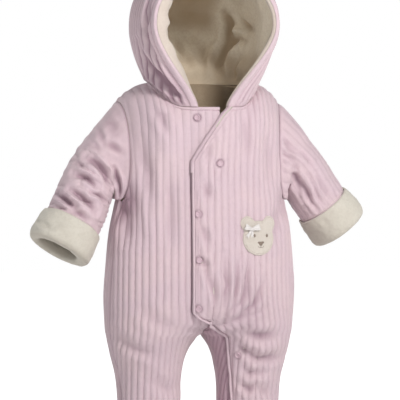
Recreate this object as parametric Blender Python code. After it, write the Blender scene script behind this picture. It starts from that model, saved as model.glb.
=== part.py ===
"""A hooded, fleece-lined baby snowsuit in ribbed velour, as it is worn.

Lengths are in millimetres until a mesh is made. +Z is up, the front faces -Y, and the wearer's
left is +X. The origin is at the base of the neck, where the wearer's shoulders carry the suit.
Each cloth piece is a wall laid on one shared surface, so that its neighbours meet it at the seams.
"""

from functools import lru_cache

import bmesh
import bpy
import numpy as np

MM = 0.001

# Cloth
RIB_PITCH = 9.2
RIB_HEIGHT = 1.3
WALL = 2.4
SEAM_GAP = 0.3
INNER_PITCH = 18.4
LINING = 1.8
STEP = 0.6  # of the finite differences that give a surface's normal

# Heights on the body
CHEST = -135.0
BLEND_TOP = -250.0
CROTCH_TOP = -291.0
CROTCH = -306.0
BLEND_LOW = -322.0
HEM = -500.0
YOKE = 135.0  # measured height of the stretch above the chest line
TOP = CHEST + YOKE
LEG_ROWS = (-500.0, -398.0, -364.0, -338.0, -320.0, -306.0)
CROTCH_ROWS = (-301.0, -296.0, -291.0)
TORSO_ROWS = (-282.0, -268.0, -232.0, -184.0, -135.0)
YOKE_ROWS = (0.07, 0.17, 0.3, 0.45, 0.62, 0.8, 0.91, 0.997)
SIDE_SEAM_ANGLE = np.radians(11.0)  # the side seam lies this far forward of the side

TORSO_COLUMNS = ("height", "half_width", "front", "back")
TORSO = (
    (-340.0, 116.0, -72.0, 72.0),
    (-306.0, 120.0, -80.0, 77.0),
    (-268.0, 122.5, -85.0, 77.0),
    (-220.0, 121.0, -86.0, 73.0),
    (-168.0, 115.5, -84.0, 68.0),
    (-135.0, 109.0, -82.0, 65.0),
    (-100.0, 104.0, -80.0, 62.0),
)
LEG_COLUMNS = ("height", "centre", "half_width", "front", "back")
LEG = (
    (-500.0, 66.0, 37.5, -39.0, 41.0),
    (-446.0, 65.0, 38.5, -40.0, 42.0),
    (-398.0, 64.0, 40.0, -42.0, 45.0),
    (-364.0, 64.5, 42.5, -46.0, 50.0),
    (-330.0, 64.0, 51.0, -57.0, 60.0),
    (-306.0, 60.0, 60.0, -68.0, 68.0),
    (-250.0, 60.5, 61.0, -82.0, 76.0),
)

# Neckline and shoulders
NECK_RADIUS = 70.0
NECK_MIDDLE = -14.0
NECK_FRONT_DEPTH = 70.0
NECK_BACK_DEPTH = 64.0
NECK_FRONT_HEIGHT = -15.6
NECK_SIDE_HEIGHT = 16.4
NECK_BACK_HEIGHT = 18.0
SHOULDER_START = np.radians(97.0)  # round the neck from its front
NECK_REACH = 72.0  # the chest width that runs up to the neckline
SHOULDER_REACH = 98.0  # and the width that runs up to the shoulder's tip
SHOULDER_TIP = np.array((107.0, 12.0, -8.0))
YOKE_FULL = {1: 0.62, -1: 0.5}  # extra roundness of the front and back beside the neck
YOKE_FULL_AT = 74.0
YOKE_FULL_WIDE = 11.0
ARMHOLE_COLUMNS = ("share", "chest_x")
ARMHOLE = (
    (0.0, 106.0),
    (0.07, 103.5),
    (0.17, 100.0),
    (0.3, 97.5),
    (0.45, 96.0),
    (0.62, 95.5),
    (0.8, 96.3),
    (1.0, 98.0),
)

# Placket, from the neck down the front and the wearer's left leg
OVERLAP_COLUMNS = ("height", "x")
OVERLAP = (
    (-500.0, 36.0),
    (-398.0, 34.0),
    (-364.0, 31.0),
    (-338.0, 26.0),
    (-320.0, 22.0),
    (-306.0, 17.0),
    (-296.0, 9.0),
    (-291.0, -1.0),
    (-282.0, -21.0),
    (-275.0, -27.5),
    (-84.0, -27.5),
    (-56.0, -11.1),
    (-25.0, 9.5),
    (-15.6, 19.5),
)
UNDERLAP_EDGE = 8.0
LIFT = WALL + RIB_HEIGHT + 4 * SEAM_GAP  # of the overlap over the underlap
BINDING = 3.8
BINDING_RAISED = 0.5
FACING_SHOWS = 1.5
UNDERLAP_TUCK = 15.0

# Hood
HOOD_FRONT_ANGLE = np.radians(15.8)
HOOD_RIBS = 24
HOOD_SIDE = 89.0
HOOD_MIDDLE = -10.0
HOOD_BACK_DEPTH = 98.0
HOOD_EQUATOR = 88.0
HOOD_CROWN = 172.0
RIM_X, RIM_Y = 79.5, -104.0
RIM_TOP_Y, RIM_TOP = -100.0, 153.0
HOOD_FRONT_SHARE = 0.39  # of its ribs lie forward of its widest place
HOOD_ROWS = (0.0, 0.1, 0.2, 0.3, 0.4, 0.5, 0.6, 0.7, 0.8, 0.9, 1.0)
HOOD_INNER_COLUMNS = 12
BAND_WIDTH = 9.0
BAND_RAISED = 1.2
NECK_GAP = 1.1
NAPE_LINING_ROWS = YOKE_ROWS[3:]
NAPE_LINING_REACH = 3 * INNER_PITCH

# Sleeves and cuffs
SLEEVE_COLUMNS = 48
SLEEVE_INNER_COLUMNS = 24
SLEEVE_LEAVES = (0.86, 0.0, -0.5)
SLEEVE_ROWS = (0.0, 0.07, 0.16, 0.28, 0.42, 0.56, 0.7, 0.85, 1.0)
SLEEVES = {
    "right": {
        "side": -1,
        "end": (-171.0, -22.0, -165.0),
        "heading": (-0.50, -0.20, -0.84),
        "across": 36.5,
        "deep": 34.5,
        "bow": 9.0,
    },
    "left": {
        "side": 1,
        "end": (169.0, 6.0, -143.0),
        "heading": (0.63, 0.06, -0.77),
        "across": 34.0,
        "deep": 36.0,
        "bow": 7.0,
    },
}
CUFF_LENGTH = 38.0
CUFF_SIDES = 24
CUFF_PROFILE = (  # along the sleeve, out from its surface
    (0.2, 0.9),
    (-0.6, 2.4),
    (1.2, 4.2),
    (12.0, 5.0),
    (30.0, 4.6),
    (36.5, 2.4),
    (38.0, -1.2),
    (36.0, -4.4),
    (22.0, -5.8),
    (20.5, -4.6),
    (22.0, -3.5),
    (34.2, -3.5),
    (34.8, -1.2),
    (34.2, 0.8),
    (12.0, 0.8),
)

# Snaps and the bear
SNAP_RADIUS = 4.0
SNAP_HEIGHT = 1.4
SNAP_SIDES = 14
SNAPS = {  # height, x, and the share of a rib's height that carries the snap
    "snap_2": (-87.0, 7.4, 1.0),
    "snap_3": (-152.0, -20.0, 0.5),
    "snap_4": (-210.0, -19.5, 0.5),
    "snap_5": (-270.0, -20.0, 0.5),
    "snap_6": (-334.0, 37.0, 1.0),
}
NECK_SNAP = (-29.5, -20.6, 1.0)
BEAR = {
    "height": -184.0,
    "x": 60.0,
    "half_width": 21.5,
    "half_height": 19.0,
    "ear_radius": 8.6,
    "ear_reach": 23.0,
    "ear_angle": 52.0,
    "thickness": 2.2,
    "dome": 1.2,
    "points": 44,
}
BOW = {"reach": 8.5, "waist": 2.4, "thickness": 1.6, "angle": 130.0, "out": 18.5, "points": 20}

PINK = (0.66, 0.47, 0.54, 1.0)
DEEP_PINK = (0.52, 0.33, 0.40, 1.0)
CREAM = (0.74, 0.68, 0.56, 1.0)
WHITE = (0.85, 0.84, 0.82, 1.0)
PEARL = (0.78, 0.66, 0.70, 1.0)


def smooth(x):
    x = np.clip(x, 0.0, 1.0)
    return x * x * (3.0 - 2.0 * x)


def ramp(x, start, end):
    return smooth((x - start) / (end - start))


def mix(first, second, weight):
    return first + (second - first) * weight


def unit(vector):
    return vector / max(np.linalg.norm(vector), 1e-9)


def column(table, names, name):
    return np.array([row[names.index(name)] for row in table])


def read(table, names, name, at):
    """A column's value between two rows, on a curve that runs smoothly through them."""
    keys, values = column(table, names, names[0]), column(table, names, name)
    at = float(np.clip(at, keys[0], keys[-1]))
    i = int(np.clip(np.searchsorted(keys, at) - 1, 0, len(keys) - 2))
    slopes = np.gradient(values, keys)
    span = keys[i + 1] - keys[i]
    t = (at - keys[i]) / span
    bend = (slopes[i] * (1 - t) - slopes[i + 1] * t) * span * t * (1 - t)
    return mix(values[i], values[i + 1], smooth(t)) + bend


def straight(table, names, name, at):
    return float(np.interp(at, column(table, names, names[0]), column(table, names, name)))


# The body: a torso that forks into two legs, and a yoke that lofts up to the neck and shoulders


def oval(centre, half_width, front, back, angles, power):
    cos, sin = np.cos(angles), np.sin(angles)
    middle = (front + back) / 2
    depth = (back - front) / 2
    x = centre + half_width * np.sign(cos) * np.abs(cos) ** (2 / power)
    y = middle - depth * np.sign(sin) * np.abs(sin) ** (2 / power)
    return np.stack((x, y), axis=1)


def lengths(points):
    return np.concatenate(((0.0,), np.cumsum(np.linalg.norm(np.diff(points, axis=0), axis=1))))


@lru_cache(maxsize=None)
def torso_path(face, height):
    """Points from the side seam to the middle of the front (face 1) or the back (face -1)."""
    angles = np.linspace(SIDE_SEAM_ANGLE, face * np.pi / 2, 90)
    sizes = [read(TORSO, TORSO_COLUMNS, name, height) for name in TORSO_COLUMNS[1:]]
    points = oval(0.0, *sizes, angles, 2.25)
    return lengths(points), points


@lru_cache(maxsize=None)
def leg_path(face, height):
    """Points from the side seam to the inseam, and a little past it."""
    angles = np.linspace(SIDE_SEAM_ANGLE, face * np.pi * 1.08, 150)
    sizes = [read(LEG, LEG_COLUMNS, name, height) for name in LEG_COLUMNS[1:]]
    points = oval(*sizes, angles, 2.1)
    along = lengths(points)
    inseam = float(np.interp(np.pi, np.abs(angles[10:]), along[10:]))
    return along, points, inseam


@lru_cache(maxsize=None)
def half_girth(face, height):
    """From the side seam to the centre line above the crotch, and to the inseam below it."""
    torso = torso_path(face, height)[0][-1]
    if height >= CROTCH_TOP:
        return torso
    return mix(torso, leg_path(face, height)[2], ramp(height, CROTCH_TOP, CROTCH))


def raw_section(face, along, height):
    weight = ramp(height, BLEND_TOP, BLEND_LOW)
    length, points = torso_path(face, height)
    plan = np.array([np.interp(along, length, points[:, i]) for i in (0, 1)])
    if weight == 0.0:
        return plan
    leg_length, leg_points, inseam = leg_path(face, height)
    leg = np.array([np.interp(along, leg_length, leg_points[:, i]) for i in (0, 1)])
    past = (along - length[-1]) / max(inseam - length[-1], 1.0)
    if past > 0.0:
        plan[1] = mix(points[-1, 1], (leg_points[:, 1].min() + leg_points[:, 1].max()) / 2, past)
    return mix(plan, leg, weight)


def section(face, along, height):
    """A point of the half body at one height, `along` millimetres from its side seam."""
    plan = raw_section(face, along, height)
    if CROTCH <= height < BLEND_TOP:
        end = half_girth(face, height)
        plan[0] -= raw_section(face, end, height)[0] * smooth((along / end - 0.5) / 0.5)
        plan[0] += SEAM_GAP * ramp(height, CROTCH_TOP + 6.0, CROTCH)
    return np.array((plan[0], plan[1], height))


def neckline(angle):
    """A point of the neck seam, at an angle round the neck from its front."""
    depth = NECK_FRONT_DEPTH if angle < np.pi / 2 else NECK_BACK_DEPTH
    rise = ramp(angle, np.radians(30.0), np.radians(90.0))
    height = mix(NECK_FRONT_HEIGHT, NECK_SIDE_HEIGHT, rise)
    height += (NECK_BACK_HEIGHT - NECK_SIDE_HEIGHT) * ramp(angle, np.pi / 2, np.pi)
    return np.array((NECK_RADIUS * np.sin(angle), NECK_MIDDLE - depth * np.cos(angle), height))


def top_of(face, x):
    """Where the cloth that leaves the chest line at x ends: on the neck seam or the shoulder seam."""
    centre = 0.0 if face > 0 else np.pi
    if x < NECK_REACH:
        turn = 1.0 - (1.0 - max(x, 0.0) / NECK_REACH) ** 0.6
        return neckline(mix(centre, SHOULDER_START, turn))
    share = (x - NECK_REACH) / (SHOULDER_REACH - NECK_REACH)
    ridge = mix(neckline(SHOULDER_START), SHOULDER_TIP, share)
    ridge[2] += 5.0 * np.sin(np.pi * min(share, 1.0)) - 12.0 * max(share - 1.0, 0.0)
    return ridge


def yoke(face, across, share):
    start = section(face, half_girth(face, CHEST) - across, CHEST)
    below = section(face, half_girth(face, CHEST - 4.0) - across, CHEST - 4.0)
    end = top_of(face, start[0])
    rise = end[2] - CHEST
    lean = smooth((start[0] - 22.0) / 58.0)
    finish = unit(mix(np.array((0.0, 0.12 * face, 1.0)), np.array((0.0, face, 0.0)), lean))
    leave = (start - below) / 4.0 * rise
    fullness = 1.05 + YOKE_FULL[face] * np.exp(-(((start[0] - YOKE_FULL_AT) / YOKE_FULL_WIDE) ** 2))
    arrive = finish * np.linalg.norm(end - start) * fullness
    t = share
    return (
        start * (1 - t) ** 2 * (1 + 2 * t)
        + leave * t * (1 - t) ** 2
        + end * t * t * (3 - 2 * t)
        - arrive * t * t * (1 - t)
    )


@lru_cache(maxsize=None)
def body(face, across, level):
    """A point of the suit's surface on the wearer's left.

    `across` runs from the centre line towards the side seam, along the cloth. Past the centre of the
    front it goes over to the other side. `level` is a height up to the chest, and above it the chest
    line plus the share of the yoke times YOKE.
    """
    height = min(level, CHEST)
    full = half_girth(face, max(height, CROTCH_TOP))
    other = -1.0 if across < 0.0 and height >= CROTCH_TOP else 1.0
    along = full - (abs(across) if other < 0 else across)
    if level <= CHEST:
        point = section(face, along, height)
    else:
        point = yoke(face, abs(across), (level - CHEST) / YOKE)
    return point * (other, 1.0, 1.0)


def body_normal(face, across, level):
    ahead, behind = body(face, across + STEP, level), body(face, across - STEP, level)
    top = min(level + STEP, CHEST + YOKE)
    up = body(face, across, top) - body(face, across, level - STEP)
    return unit(np.cross(ahead - behind, up)) * face


def seam_end(face, level):
    """How far the cloth reaches from the centre line: to the side seam, or to the armhole."""
    full = half_girth(face, max(min(level, CHEST), CROTCH_TOP))
    if level <= CHEST:
        return full
    edge = read(ARMHOLE, ARMHOLE_COLUMNS, "chest_x", (level - CHEST) / YOKE)
    along, points = torso_path(face, CHEST)
    widest = int(np.argmax(points[:, 0]))
    return full - float(np.interp(-edge, -points[widest:, 0], along[widest:]))


def centre_start(face, level):
    """Where a piece that meets its mirror image starts: the centre line, then the inseam."""
    if level >= CROTCH_TOP:
        return 0.0
    return half_girth(face, CROTCH_TOP) - half_girth(face, level)


def across_at(face, level, x):
    """How far from the centre line the surface reaches a given x."""
    low = centre_start(face, level)
    high = low + 0.5 * (seam_end(face, level) - low)
    if x < 0.0:
        return -across_at(face, level, -x)
    for _ in range(30):
        middle = (low + high) / 2
        if body(face, middle, level)[0] < x:
            low = middle
        else:
            high = middle
    return low


def overlap_start(level):
    """The free edge of the overlap, as a distance across the front."""
    height = level
    for _ in range(3):
        x = straight(OVERLAP, OVERLAP_COLUMNS, "x", height)
        start = across_at(1, level, x)
        height = body(1, start, level)[2]
    return start


def rib(across, pitch=RIB_PITCH):
    return RIB_HEIGHT * (0.5 - 0.5 * np.cos(2 * np.pi * across / pitch))


# Meshes: walls that are zipped together from rows of points


class Wall:
    """A closed wall between an outer and an inner sheet, each a list of rows of points."""

    def __init__(self, closed=False):
        self.mesh = bmesh.new()
        self.closed = closed
        self.outer = []
        self.inner = []

    def row(self, keys, points):
        made = [(key, self.mesh.verts.new(point * MM)) for key, point in zip(keys, points)]
        if self.closed:
            made.append((keys[0] + 1.0, made[0][1]))
        return made

    def add(self, outer_keys, outer_points, inner_keys, inner_points):
        self.outer.append(self.row(outer_keys, outer_points))
        self.inner.append(self.row(inner_keys, inner_points))

    def face(self, *corners):
        if len(set(corners)) == 3:
            self.mesh.faces.new(corners)

    def zip(self, first, second):
        """Triangles between two rows, taken in the order of their keys."""
        i = j = 0
        while i < len(first) - 1 or j < len(second) - 1:
            step = j == len(second) - 1
            if i < len(first) - 1 and j < len(second) - 1:
                step = first[i + 1][0] + first[i][0] <= second[j + 1][0] + second[j][0]
            if step and i < len(first) - 1:
                self.face(first[i][1], first[i + 1][1], second[j][1])
                i += 1
            else:
                self.face(first[i][1], second[j + 1][1], second[j][1])
                j += 1

    def finish(self):
        for sheet in (self.outer, self.inner):
            for low, high in zip(sheet, sheet[1:]):
                self.zip(low, high)
        self.zip(self.outer[0], self.inner[0])
        self.zip(self.outer[-1], self.inner[-1])
        if not self.closed:
            for end in (0, -1):
                for i in range(len(self.outer) - 1):
                    a, b = self.outer[i][end][1], self.outer[i + 1][end][1]
                    c, d = self.inner[i + 1][end][1], self.inner[i][end][1]
                    self.face(a, b, c)
                    self.face(a, c, d)
        return self.mesh


def material(name, colour, roughness):
    made = bpy.data.materials.new(name)
    made.use_nodes = True
    shader = made.node_tree.nodes["Principled BSDF"]
    shader.inputs["Base Color"].default_value = colour
    shader.inputs["Roughness"].default_value = roughness
    shader.inputs["Metallic"].default_value = 0.0
    return made


def add_object(name, mesh, colour, roughness=0.85, side=1):
    """Makes an object of the mesh, mirrored to the wearer's right where side is -1."""
    if side < 0:
        bmesh.ops.scale(mesh, vec=(-1, 1, 1), verts=mesh.verts)
    bmesh.ops.remove_doubles(mesh, verts=mesh.verts, dist=1e-6)
    bmesh.ops.dissolve_degenerate(mesh, edges=mesh.edges, dist=1e-7)
    bmesh.ops.triangulate(mesh, faces=mesh.faces)
    bmesh.ops.recalc_face_normals(mesh, faces=mesh.faces)
    data = bpy.data.meshes.new(name)
    mesh.to_mesh(data)
    mesh.free()
    data.shade_smooth()
    data.set_sharp_from_angle(angle=np.radians(18.0))
    made = bpy.data.objects.new(name, data)
    made.data.materials.append(material(name, colour, roughness))
    bpy.context.collection.objects.link(made)
    return made


def columns_between(start, end, pitch, least):
    inside = np.arange(np.ceil(start / pitch), np.floor(end / pitch) + 1) * pitch
    inside = inside[(inside > start + least) & (inside < end - least)]
    return np.concatenate(((start,), inside, (end,)))


def flat(across, level):
    return 0.0


def body_wall(face, levels, start_of, end_of, lift=flat, ribbed=True, wall=WALL):
    """A wall on the body between two edges, given for each level as distances from the centre line."""
    made = Wall()
    for level in levels:
        start, end = start_of(level), end_of(level)
        at_seam = level > TOP - 1.0  # the neck and shoulder seams press the ribs flat
        coarse = columns_between(start, end, INNER_PITCH, INNER_PITCH / 3)
        fine = columns_between(start, end, RIB_PITCH / 2, RIB_PITCH / 5) if ribbed else coarse
        if at_seam:
            fine = coarse = columns_between(start, end, RIB_PITCH / 3, RIB_PITCH / 8)

        def place(across, out):
            point = body(face, across, level)
            point = point + body_normal(face, across, level) * (out + lift(across, level))
            if level < CROTCH_TOP:
                point[0] = max(point[0], SEAM_GAP / 2)
            return point

        raised = [rib(across) if ribbed and not at_seam else 0.0 for across in fine]
        raised[0] = raised[-1] = 0.0
        outer = [place(across, out) for across, out in zip(fine, raised)]
        made.add(fine, outer, coarse, [place(across, -wall) for across in coarse])
    return made.finish()


def levels_from(low, high):
    every = LEG_ROWS + CROTCH_ROWS + TORSO_ROWS + tuple(CHEST + YOKE * share for share in YOKE_ROWS)
    return [level for level in every if low <= level <= high]


def side_edge(face):
    return lambda level: seam_end(face, level) - SEAM_GAP / 2


def middle_edge(face):
    return lambda level: centre_start(face, level) + SEAM_GAP / 2


def bound_edge(level):
    return overlap_start(level) + BINDING


def underlap_start(level):
    if level < CROTCH_TOP:
        return middle_edge(1)(level)
    return mix(SEAM_GAP / 2, -UNDERLAP_EDGE, ramp(level, CROTCH_TOP, -268.0))


def overlap_lift(across, level):
    covered = 1.0 - ramp(across, UNDERLAP_EDGE + 2.0, UNDERLAP_EDGE + 36.0)
    return LIFT * covered * ramp(level, CROTCH, CROTCH_TOP)


def leg_underlap_lift(across, level):
    """The strip under the overlap's edge down the leg: flush at the inseam, then tucked in."""
    start = overlap_start(level)
    return -(LIFT + 0.4) * ramp(across, start - 9.0, start - 1.5)


def make_fronts():
    levels = levels_from(HEM, TOP)
    add_object("front_right", body_wall(1, levels, underlap_start, side_edge(1)), PINK, side=-1)
    add_object("front_left", body_wall(1, levels, bound_edge, side_edge(1), overlap_lift), PINK)
    strip = body_wall(
        1,
        levels_from(HEM, CROTCH_TOP),
        middle_edge(1),
        lambda level: overlap_start(level) + UNDERLAP_TUCK,
        leg_underlap_lift,
        wall=WALL - 0.4,
    )
    add_object("leg_underlap", strip, DEEP_PINK)
    facing_from = CHEST + YOKE * YOKE_ROWS[3]
    facing_levels = [facing_from + 1.0] + levels_from(facing_from + 1.0, TOP)
    for name, rows, colour, beyond in (
        ("placket_binding", levels_from(HEM, facing_from), PINK, 0.0),
        ("neckline_facing", facing_levels, CREAM, FACING_SHOWS),
    ):
        edge = body_wall(
            1,
            rows,
            lambda level, beyond=beyond: overlap_start(level) - beyond,
            lambda level: bound_edge(level) - SEAM_GAP,
            lambda across, level: overlap_lift(across, level) + BINDING_RAISED,
            ribbed=False,
        )
        add_object(name, edge, colour)


def make_backs():
    for name, side in (("back_right", -1), ("back_left", 1)):
        panel = body_wall(-1, levels_from(HEM, TOP), middle_edge(-1), side_edge(-1))
        add_object(name, panel, PINK, side=side)


def hood_plan(share):
    """Where a rib of the hood stands at its widest height, and its top, on the wearer's left."""
    if share < HOOD_FRONT_SHARE:
        t = 1.0 - share / HOOD_FRONT_SHARE
        y = mix(HOOD_MIDDLE, RIM_Y, t)
        x = HOOD_SIDE - (HOOD_SIDE - RIM_X) * t**2
        top = mix(HOOD_CROWN, RIM_TOP, t**2)
        top_y = mix(HOOD_MIDDLE, RIM_TOP_Y, t)
    else:
        turn = (share - HOOD_FRONT_SHARE) / (1.0 - HOOD_FRONT_SHARE) * np.pi / 2
        x = HOOD_SIDE * np.cos(turn)
        y = top_y = HOOD_MIDDLE + HOOD_BACK_DEPTH * np.sin(turn)
        top = HOOD_EQUATOR + (HOOD_CROWN - HOOD_EQUATOR) * np.cos(turn)
    return np.array((x, y, HOOD_EQUATOR)), np.array((0.0, top_y, top))


def hood_neck_angle(share):
    if share < HOOD_FRONT_SHARE:
        return mix(HOOD_FRONT_ANGLE, np.pi / 2, share / HOOD_FRONT_SHARE)
    return mix(np.pi / 2, np.pi, (share - HOOD_FRONT_SHARE) / (1.0 - HOOD_FRONT_SHARE))


def hood(share, rise):
    """A point of the hood: share runs from the rim to the centre back, rise from neck to crown."""
    neck = neckline(hood_neck_angle(share))
    widest, top = hood_plan(share)
    if rise < 0.5:
        t = rise / 0.5
        front = 1.0 - smooth(share / HOOD_FRONT_SHARE)
        leave = neck + (widest - neck) * (0.12, 0.12, 0.0) + (0.0, 0.0, mix(15.0, 25.0, front))
        arrive = widest - (0.0, 0.0, 37.0)
        return (
            neck * (1 - t) ** 3
            + leave * 3 * t * (1 - t) ** 2
            + arrive * 3 * t * t * (1 - t)
            + widest * t**3
        )
    turn = (rise - 0.5) / 0.5 * np.pi / 2
    return np.array(
        (
            widest[0] * np.cos(turn) ** 0.92,
            mix(widest[1], top[1], np.sin(turn) ** 2),
            mix(widest[2], top[2], np.sin(turn) ** 0.92),
        )
    )


def hood_normal(share, rise):
    if share > 0.999:
        return np.array((0.0, 1.0, 0.0))
    a, b = max(share - 0.004, 0.0), min(share + 0.004, 0.9985)
    c, d = max(rise - 0.01, 0.0), min(rise + 0.01, 0.999)
    return unit(np.cross(hood(b, rise) - hood(a, rise), hood(share, d) - hood(share, c)))


def hood_wall(fine, coarse, out_of, deep):
    """A wall on the hood's left half; out_of gives the outer face's height over the surface."""
    made = Wall()
    for rise in HOOD_ROWS:

        def place(share, out):
            point = hood(share, rise) + hood_normal(share, rise) * out
            point[0] = max(point[0], 0.0) if rise > 0.999 or share > 0.999 else point[0]
            return point + (SEAM_GAP / 2, 0.0, 0.0)

        outer = [place(share, out_of(share)) for share in fine]
        inner = [place(share, -deep) for share in coarse]
        if rise == 0.0:
            outer = [point + (0.0, 0.0, NECK_GAP) for point in outer]
            inner = [point + (0.0, 0.0, NECK_GAP) for point in inner]
        made.add(fine, outer, coarse, inner)
    return made.finish()


def make_hood():
    length = HOOD_RIBS * RIB_PITCH
    band = BAND_WIDTH / length
    start = band + SEAM_GAP / length

    def ribs(share):
        ends = share < start + 1e-6 or share > 0.9999
        return 0.0 if ends else rib((share - start) * length)

    fine = np.linspace(start, 1.0, 2 * HOOD_RIBS - 1)
    coarse = np.linspace(start, 1.0, HOOD_INNER_COLUMNS)
    edge = np.array((0.0, band))
    whole = np.concatenate((edge, coarse))
    under = WALL + SEAM_GAP * 1.5
    for name, side in (("hood_right", -1), ("hood_left", 1)):
        half = hood_wall(fine, coarse, ribs, WALL)
        add_object(name, half, PINK, side=side)
        trim = hood_wall(edge, edge, lambda share: BAND_RAISED, WALL)
        add_object(name.replace("hood", "hood_band"), trim, PINK, side=side)
        lining = hood_wall(whole, whole, lambda share: -under, under + LINING)
        add_object(name.replace("hood", "hood_lining"), lining, CREAM, side=side)


def make_nape_lining():
    """The fleece on the inside of the back that shows through the neck opening."""
    levels = [CHEST + YOKE * share for share in NAPE_LINING_ROWS]
    inside = -(WALL + 3.5 * SEAM_GAP)
    for name, side in (("nape_lining_right", -1), ("nape_lining_left", 1)):
        wall = body_wall(
            -1,
            levels,
            middle_edge(-1),
            lambda level: NAPE_LINING_REACH,
            lambda across, level: inside,
            ribbed=False,
            wall=LINING,
        )
        add_object(name, wall, CREAM, side=side)


# Sleeves: a ring that follows the armhole turns into an oval tube


def armhole():
    """Points, normals and ways out of the cloth, from the shoulder down the front and up the back."""
    levels = [CHEST + YOKE * share for share in (0.0,) + YOKE_ROWS]
    stops = [(1, level) for level in reversed(levels)] + [(-1, level) for level in levels[1:]]
    points = []
    normals = []
    for face, level in stops:
        across = seam_end(face, level)
        points.append(body(face, across, level))
        normals.append(body_normal(face, across, level))
    points, normals = np.array(points), np.array(normals)
    points[-1] = points[0]
    normals[0] = normals[-1] = unit(normals[0] + normals[-1])
    bottom = len(levels) - 1
    normals[bottom] = unit(normals[bottom] * (1.0, 0.2, 0.2))
    last = len(points) - 1
    runs = np.array([points[min(i + 1, last)] - points[max(i - 1, 0)] for i in range(last + 1)])
    runs[0] = runs[-1] = points[1] - points[-2]
    away = np.array([unit(np.cross(normal, run)) for normal, run in zip(normals, runs)])
    centre = points[:-1].mean(axis=0)
    flips = np.sign(np.einsum("ij,ij->i", away, centre + (30.0, 0.0, 0.0) - points))
    return points, normals, away * flips[:, None]


def ring_at(turns, keys, values):
    return np.stack([np.interp(turns, keys, values[:, i]) for i in range(3)], axis=1)


def sleeve_frame(spec):
    """The end ring's centre, heading, and two axes across it, on the wearer's left."""
    flip = np.array((spec["side"], 1.0, 1.0))
    heading = unit(np.array(spec["heading"]) * flip)
    side = unit(np.cross(heading, (0.0, 1.0, 0.0)))
    side = side if side[2] > 0 else -side
    return np.array(spec["end"]) * flip, heading, side, unit(np.cross(heading, side))


def end_ring(spec, turns, out=0.0, along=0.0):
    """The oval at the sleeve's end, from its top, round the front."""
    centre, heading, up, deep = sleeve_frame(spec)
    deep = deep if deep[1] < 0 else -deep
    angle = turns * 2 * np.pi
    across = np.cos(angle)[:, None] * up * (spec["across"] + out)
    over = np.sin(angle)[:, None] * deep * (spec["deep"] + out)
    return centre + heading * along + across + over


def sleeve_surface(spec, share, turns):
    """Rings from the armhole to the sleeve's end, `share` of the way along."""
    points, _, away = ARMHOLE_RING
    run = lengths(points)
    keys = run / run[-1]
    clear = SEAM_GAP * (1.2 + 2.5 * ramp(-points[:, 2], -CHEST - 20.0, -CHEST))
    start = ring_at(turns, keys, points + away * clear[:, None])
    centre, heading, _, _ = sleeve_frame(spec)
    hole = points[:-1].mean(axis=0)
    leave = unit(np.array(SLEEVE_LEAVES))
    reach = np.linalg.norm(centre - hole)
    path = (
        hole * (1 - share) ** 2 * (1 + 2 * share)
        + leave * reach * share * (1 - share) ** 2
        + centre * share**2 * (3 - 2 * share)
        - heading * reach * share**2 * (1 - share)
    )
    tilt = mix(leave, heading, smooth(share))
    swell = 1.0 + 0.05 * np.sin(np.pi * share)
    oval_ring = (end_ring(spec, turns) - centre) * swell
    oval_ring -= np.outer(oval_ring @ unit(tilt), unit(tilt)) * 0.9
    weight = smooth(share / 0.5)
    return mix(start - hole, oval_ring, weight) + path


def sleeve_wall(spec):
    made = Wall(closed=True)
    fine = np.arange(SLEEVE_COLUMNS) / SLEEVE_COLUMNS
    coarse = np.arange(SLEEVE_INNER_COLUMNS) / SLEEVE_INNER_COLUMNS
    reach = CUFF_LENGTH - 4.4
    _, heading, _, _ = sleeve_frame(spec)
    points, _, away = ARMHOLE_RING
    keys = lengths(points) / lengths(points)[-1]

    def normals_at(share, turns):
        share = min(max(share, 0.0), 1.0)
        low, high = max(share - 0.02, 0.0), min(share + 0.02, 1.0)
        along = sleeve_surface(spec, high, turns) - sleeve_surface(spec, low, turns)
        after, before = sleeve_surface(spec, share, turns + 0.004), sleeve_surface(spec, share, turns - 0.004)
        found = np.cross(along, after - before)
        middle = sleeve_surface(spec, share, coarse).mean(axis=0)
        outwards = sleeve_surface(spec, share, turns) - middle
        found *= np.sign(np.einsum("ij,ij->i", found, outwards))[:, None]
        found = np.array([unit(normal) for normal in found])
        if share == 0.0:
            out = ring_at(turns, keys, away)
            over = np.maximum(np.einsum("ij,ij->i", found, out), 0.0)
            found = np.array([unit(normal) for normal in found - out * over[:, None]])
        return found

    def sheet(share, turns, out):
        return sleeve_surface(spec, share, turns) + normals_at(share, turns) * np.array(out)[:, None]

    def ribs(turns, fade):
        ridges = np.arange(len(turns)) % 2
        return ridges * RIB_HEIGHT * 0.8 * fade

    under = np.full(len(coarse), -WALL)
    for share in SLEEVE_ROWS:
        fade = 0.0 if share in (0.0, 1.0) else 1.0
        made.add(fine, sheet(share, fine, ribs(fine, fade)), coarse, sheet(share, coarse, under))
    end, end_under = sheet(1.0, fine, 0.0 * fine), sheet(1.0, coarse, under)
    for along in (reach * 0.5, reach):
        made.add(fine, end + heading * along, coarse, end_under + heading * along)
    return made.finish()


def cuff(spec):
    """A turned-back fleece cuff: its outer layer, the fold, and the layer inside the sleeve."""
    mesh = bmesh.new()
    turns = np.arange(CUFF_SIDES) / CUFF_SIDES
    rings = []
    for along, out in CUFF_PROFILE:
        spread = 1.0 + 1.5 * smooth(along / CUFF_LENGTH) if out > 0 else 0.0
        ring = end_ring(spec, turns, out + (spread - 1.0 if out > 1.0 else 0.0), along)
        rings.append([mesh.verts.new(point * MM) for point in ring])
    for low, high in zip(rings, rings[1:] + rings[:1]):
        for i in range(CUFF_SIDES):
            j = (i + 1) % CUFF_SIDES
            mesh.faces.new((low[i], low[j], high[j], high[i]))
    return mesh


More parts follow.
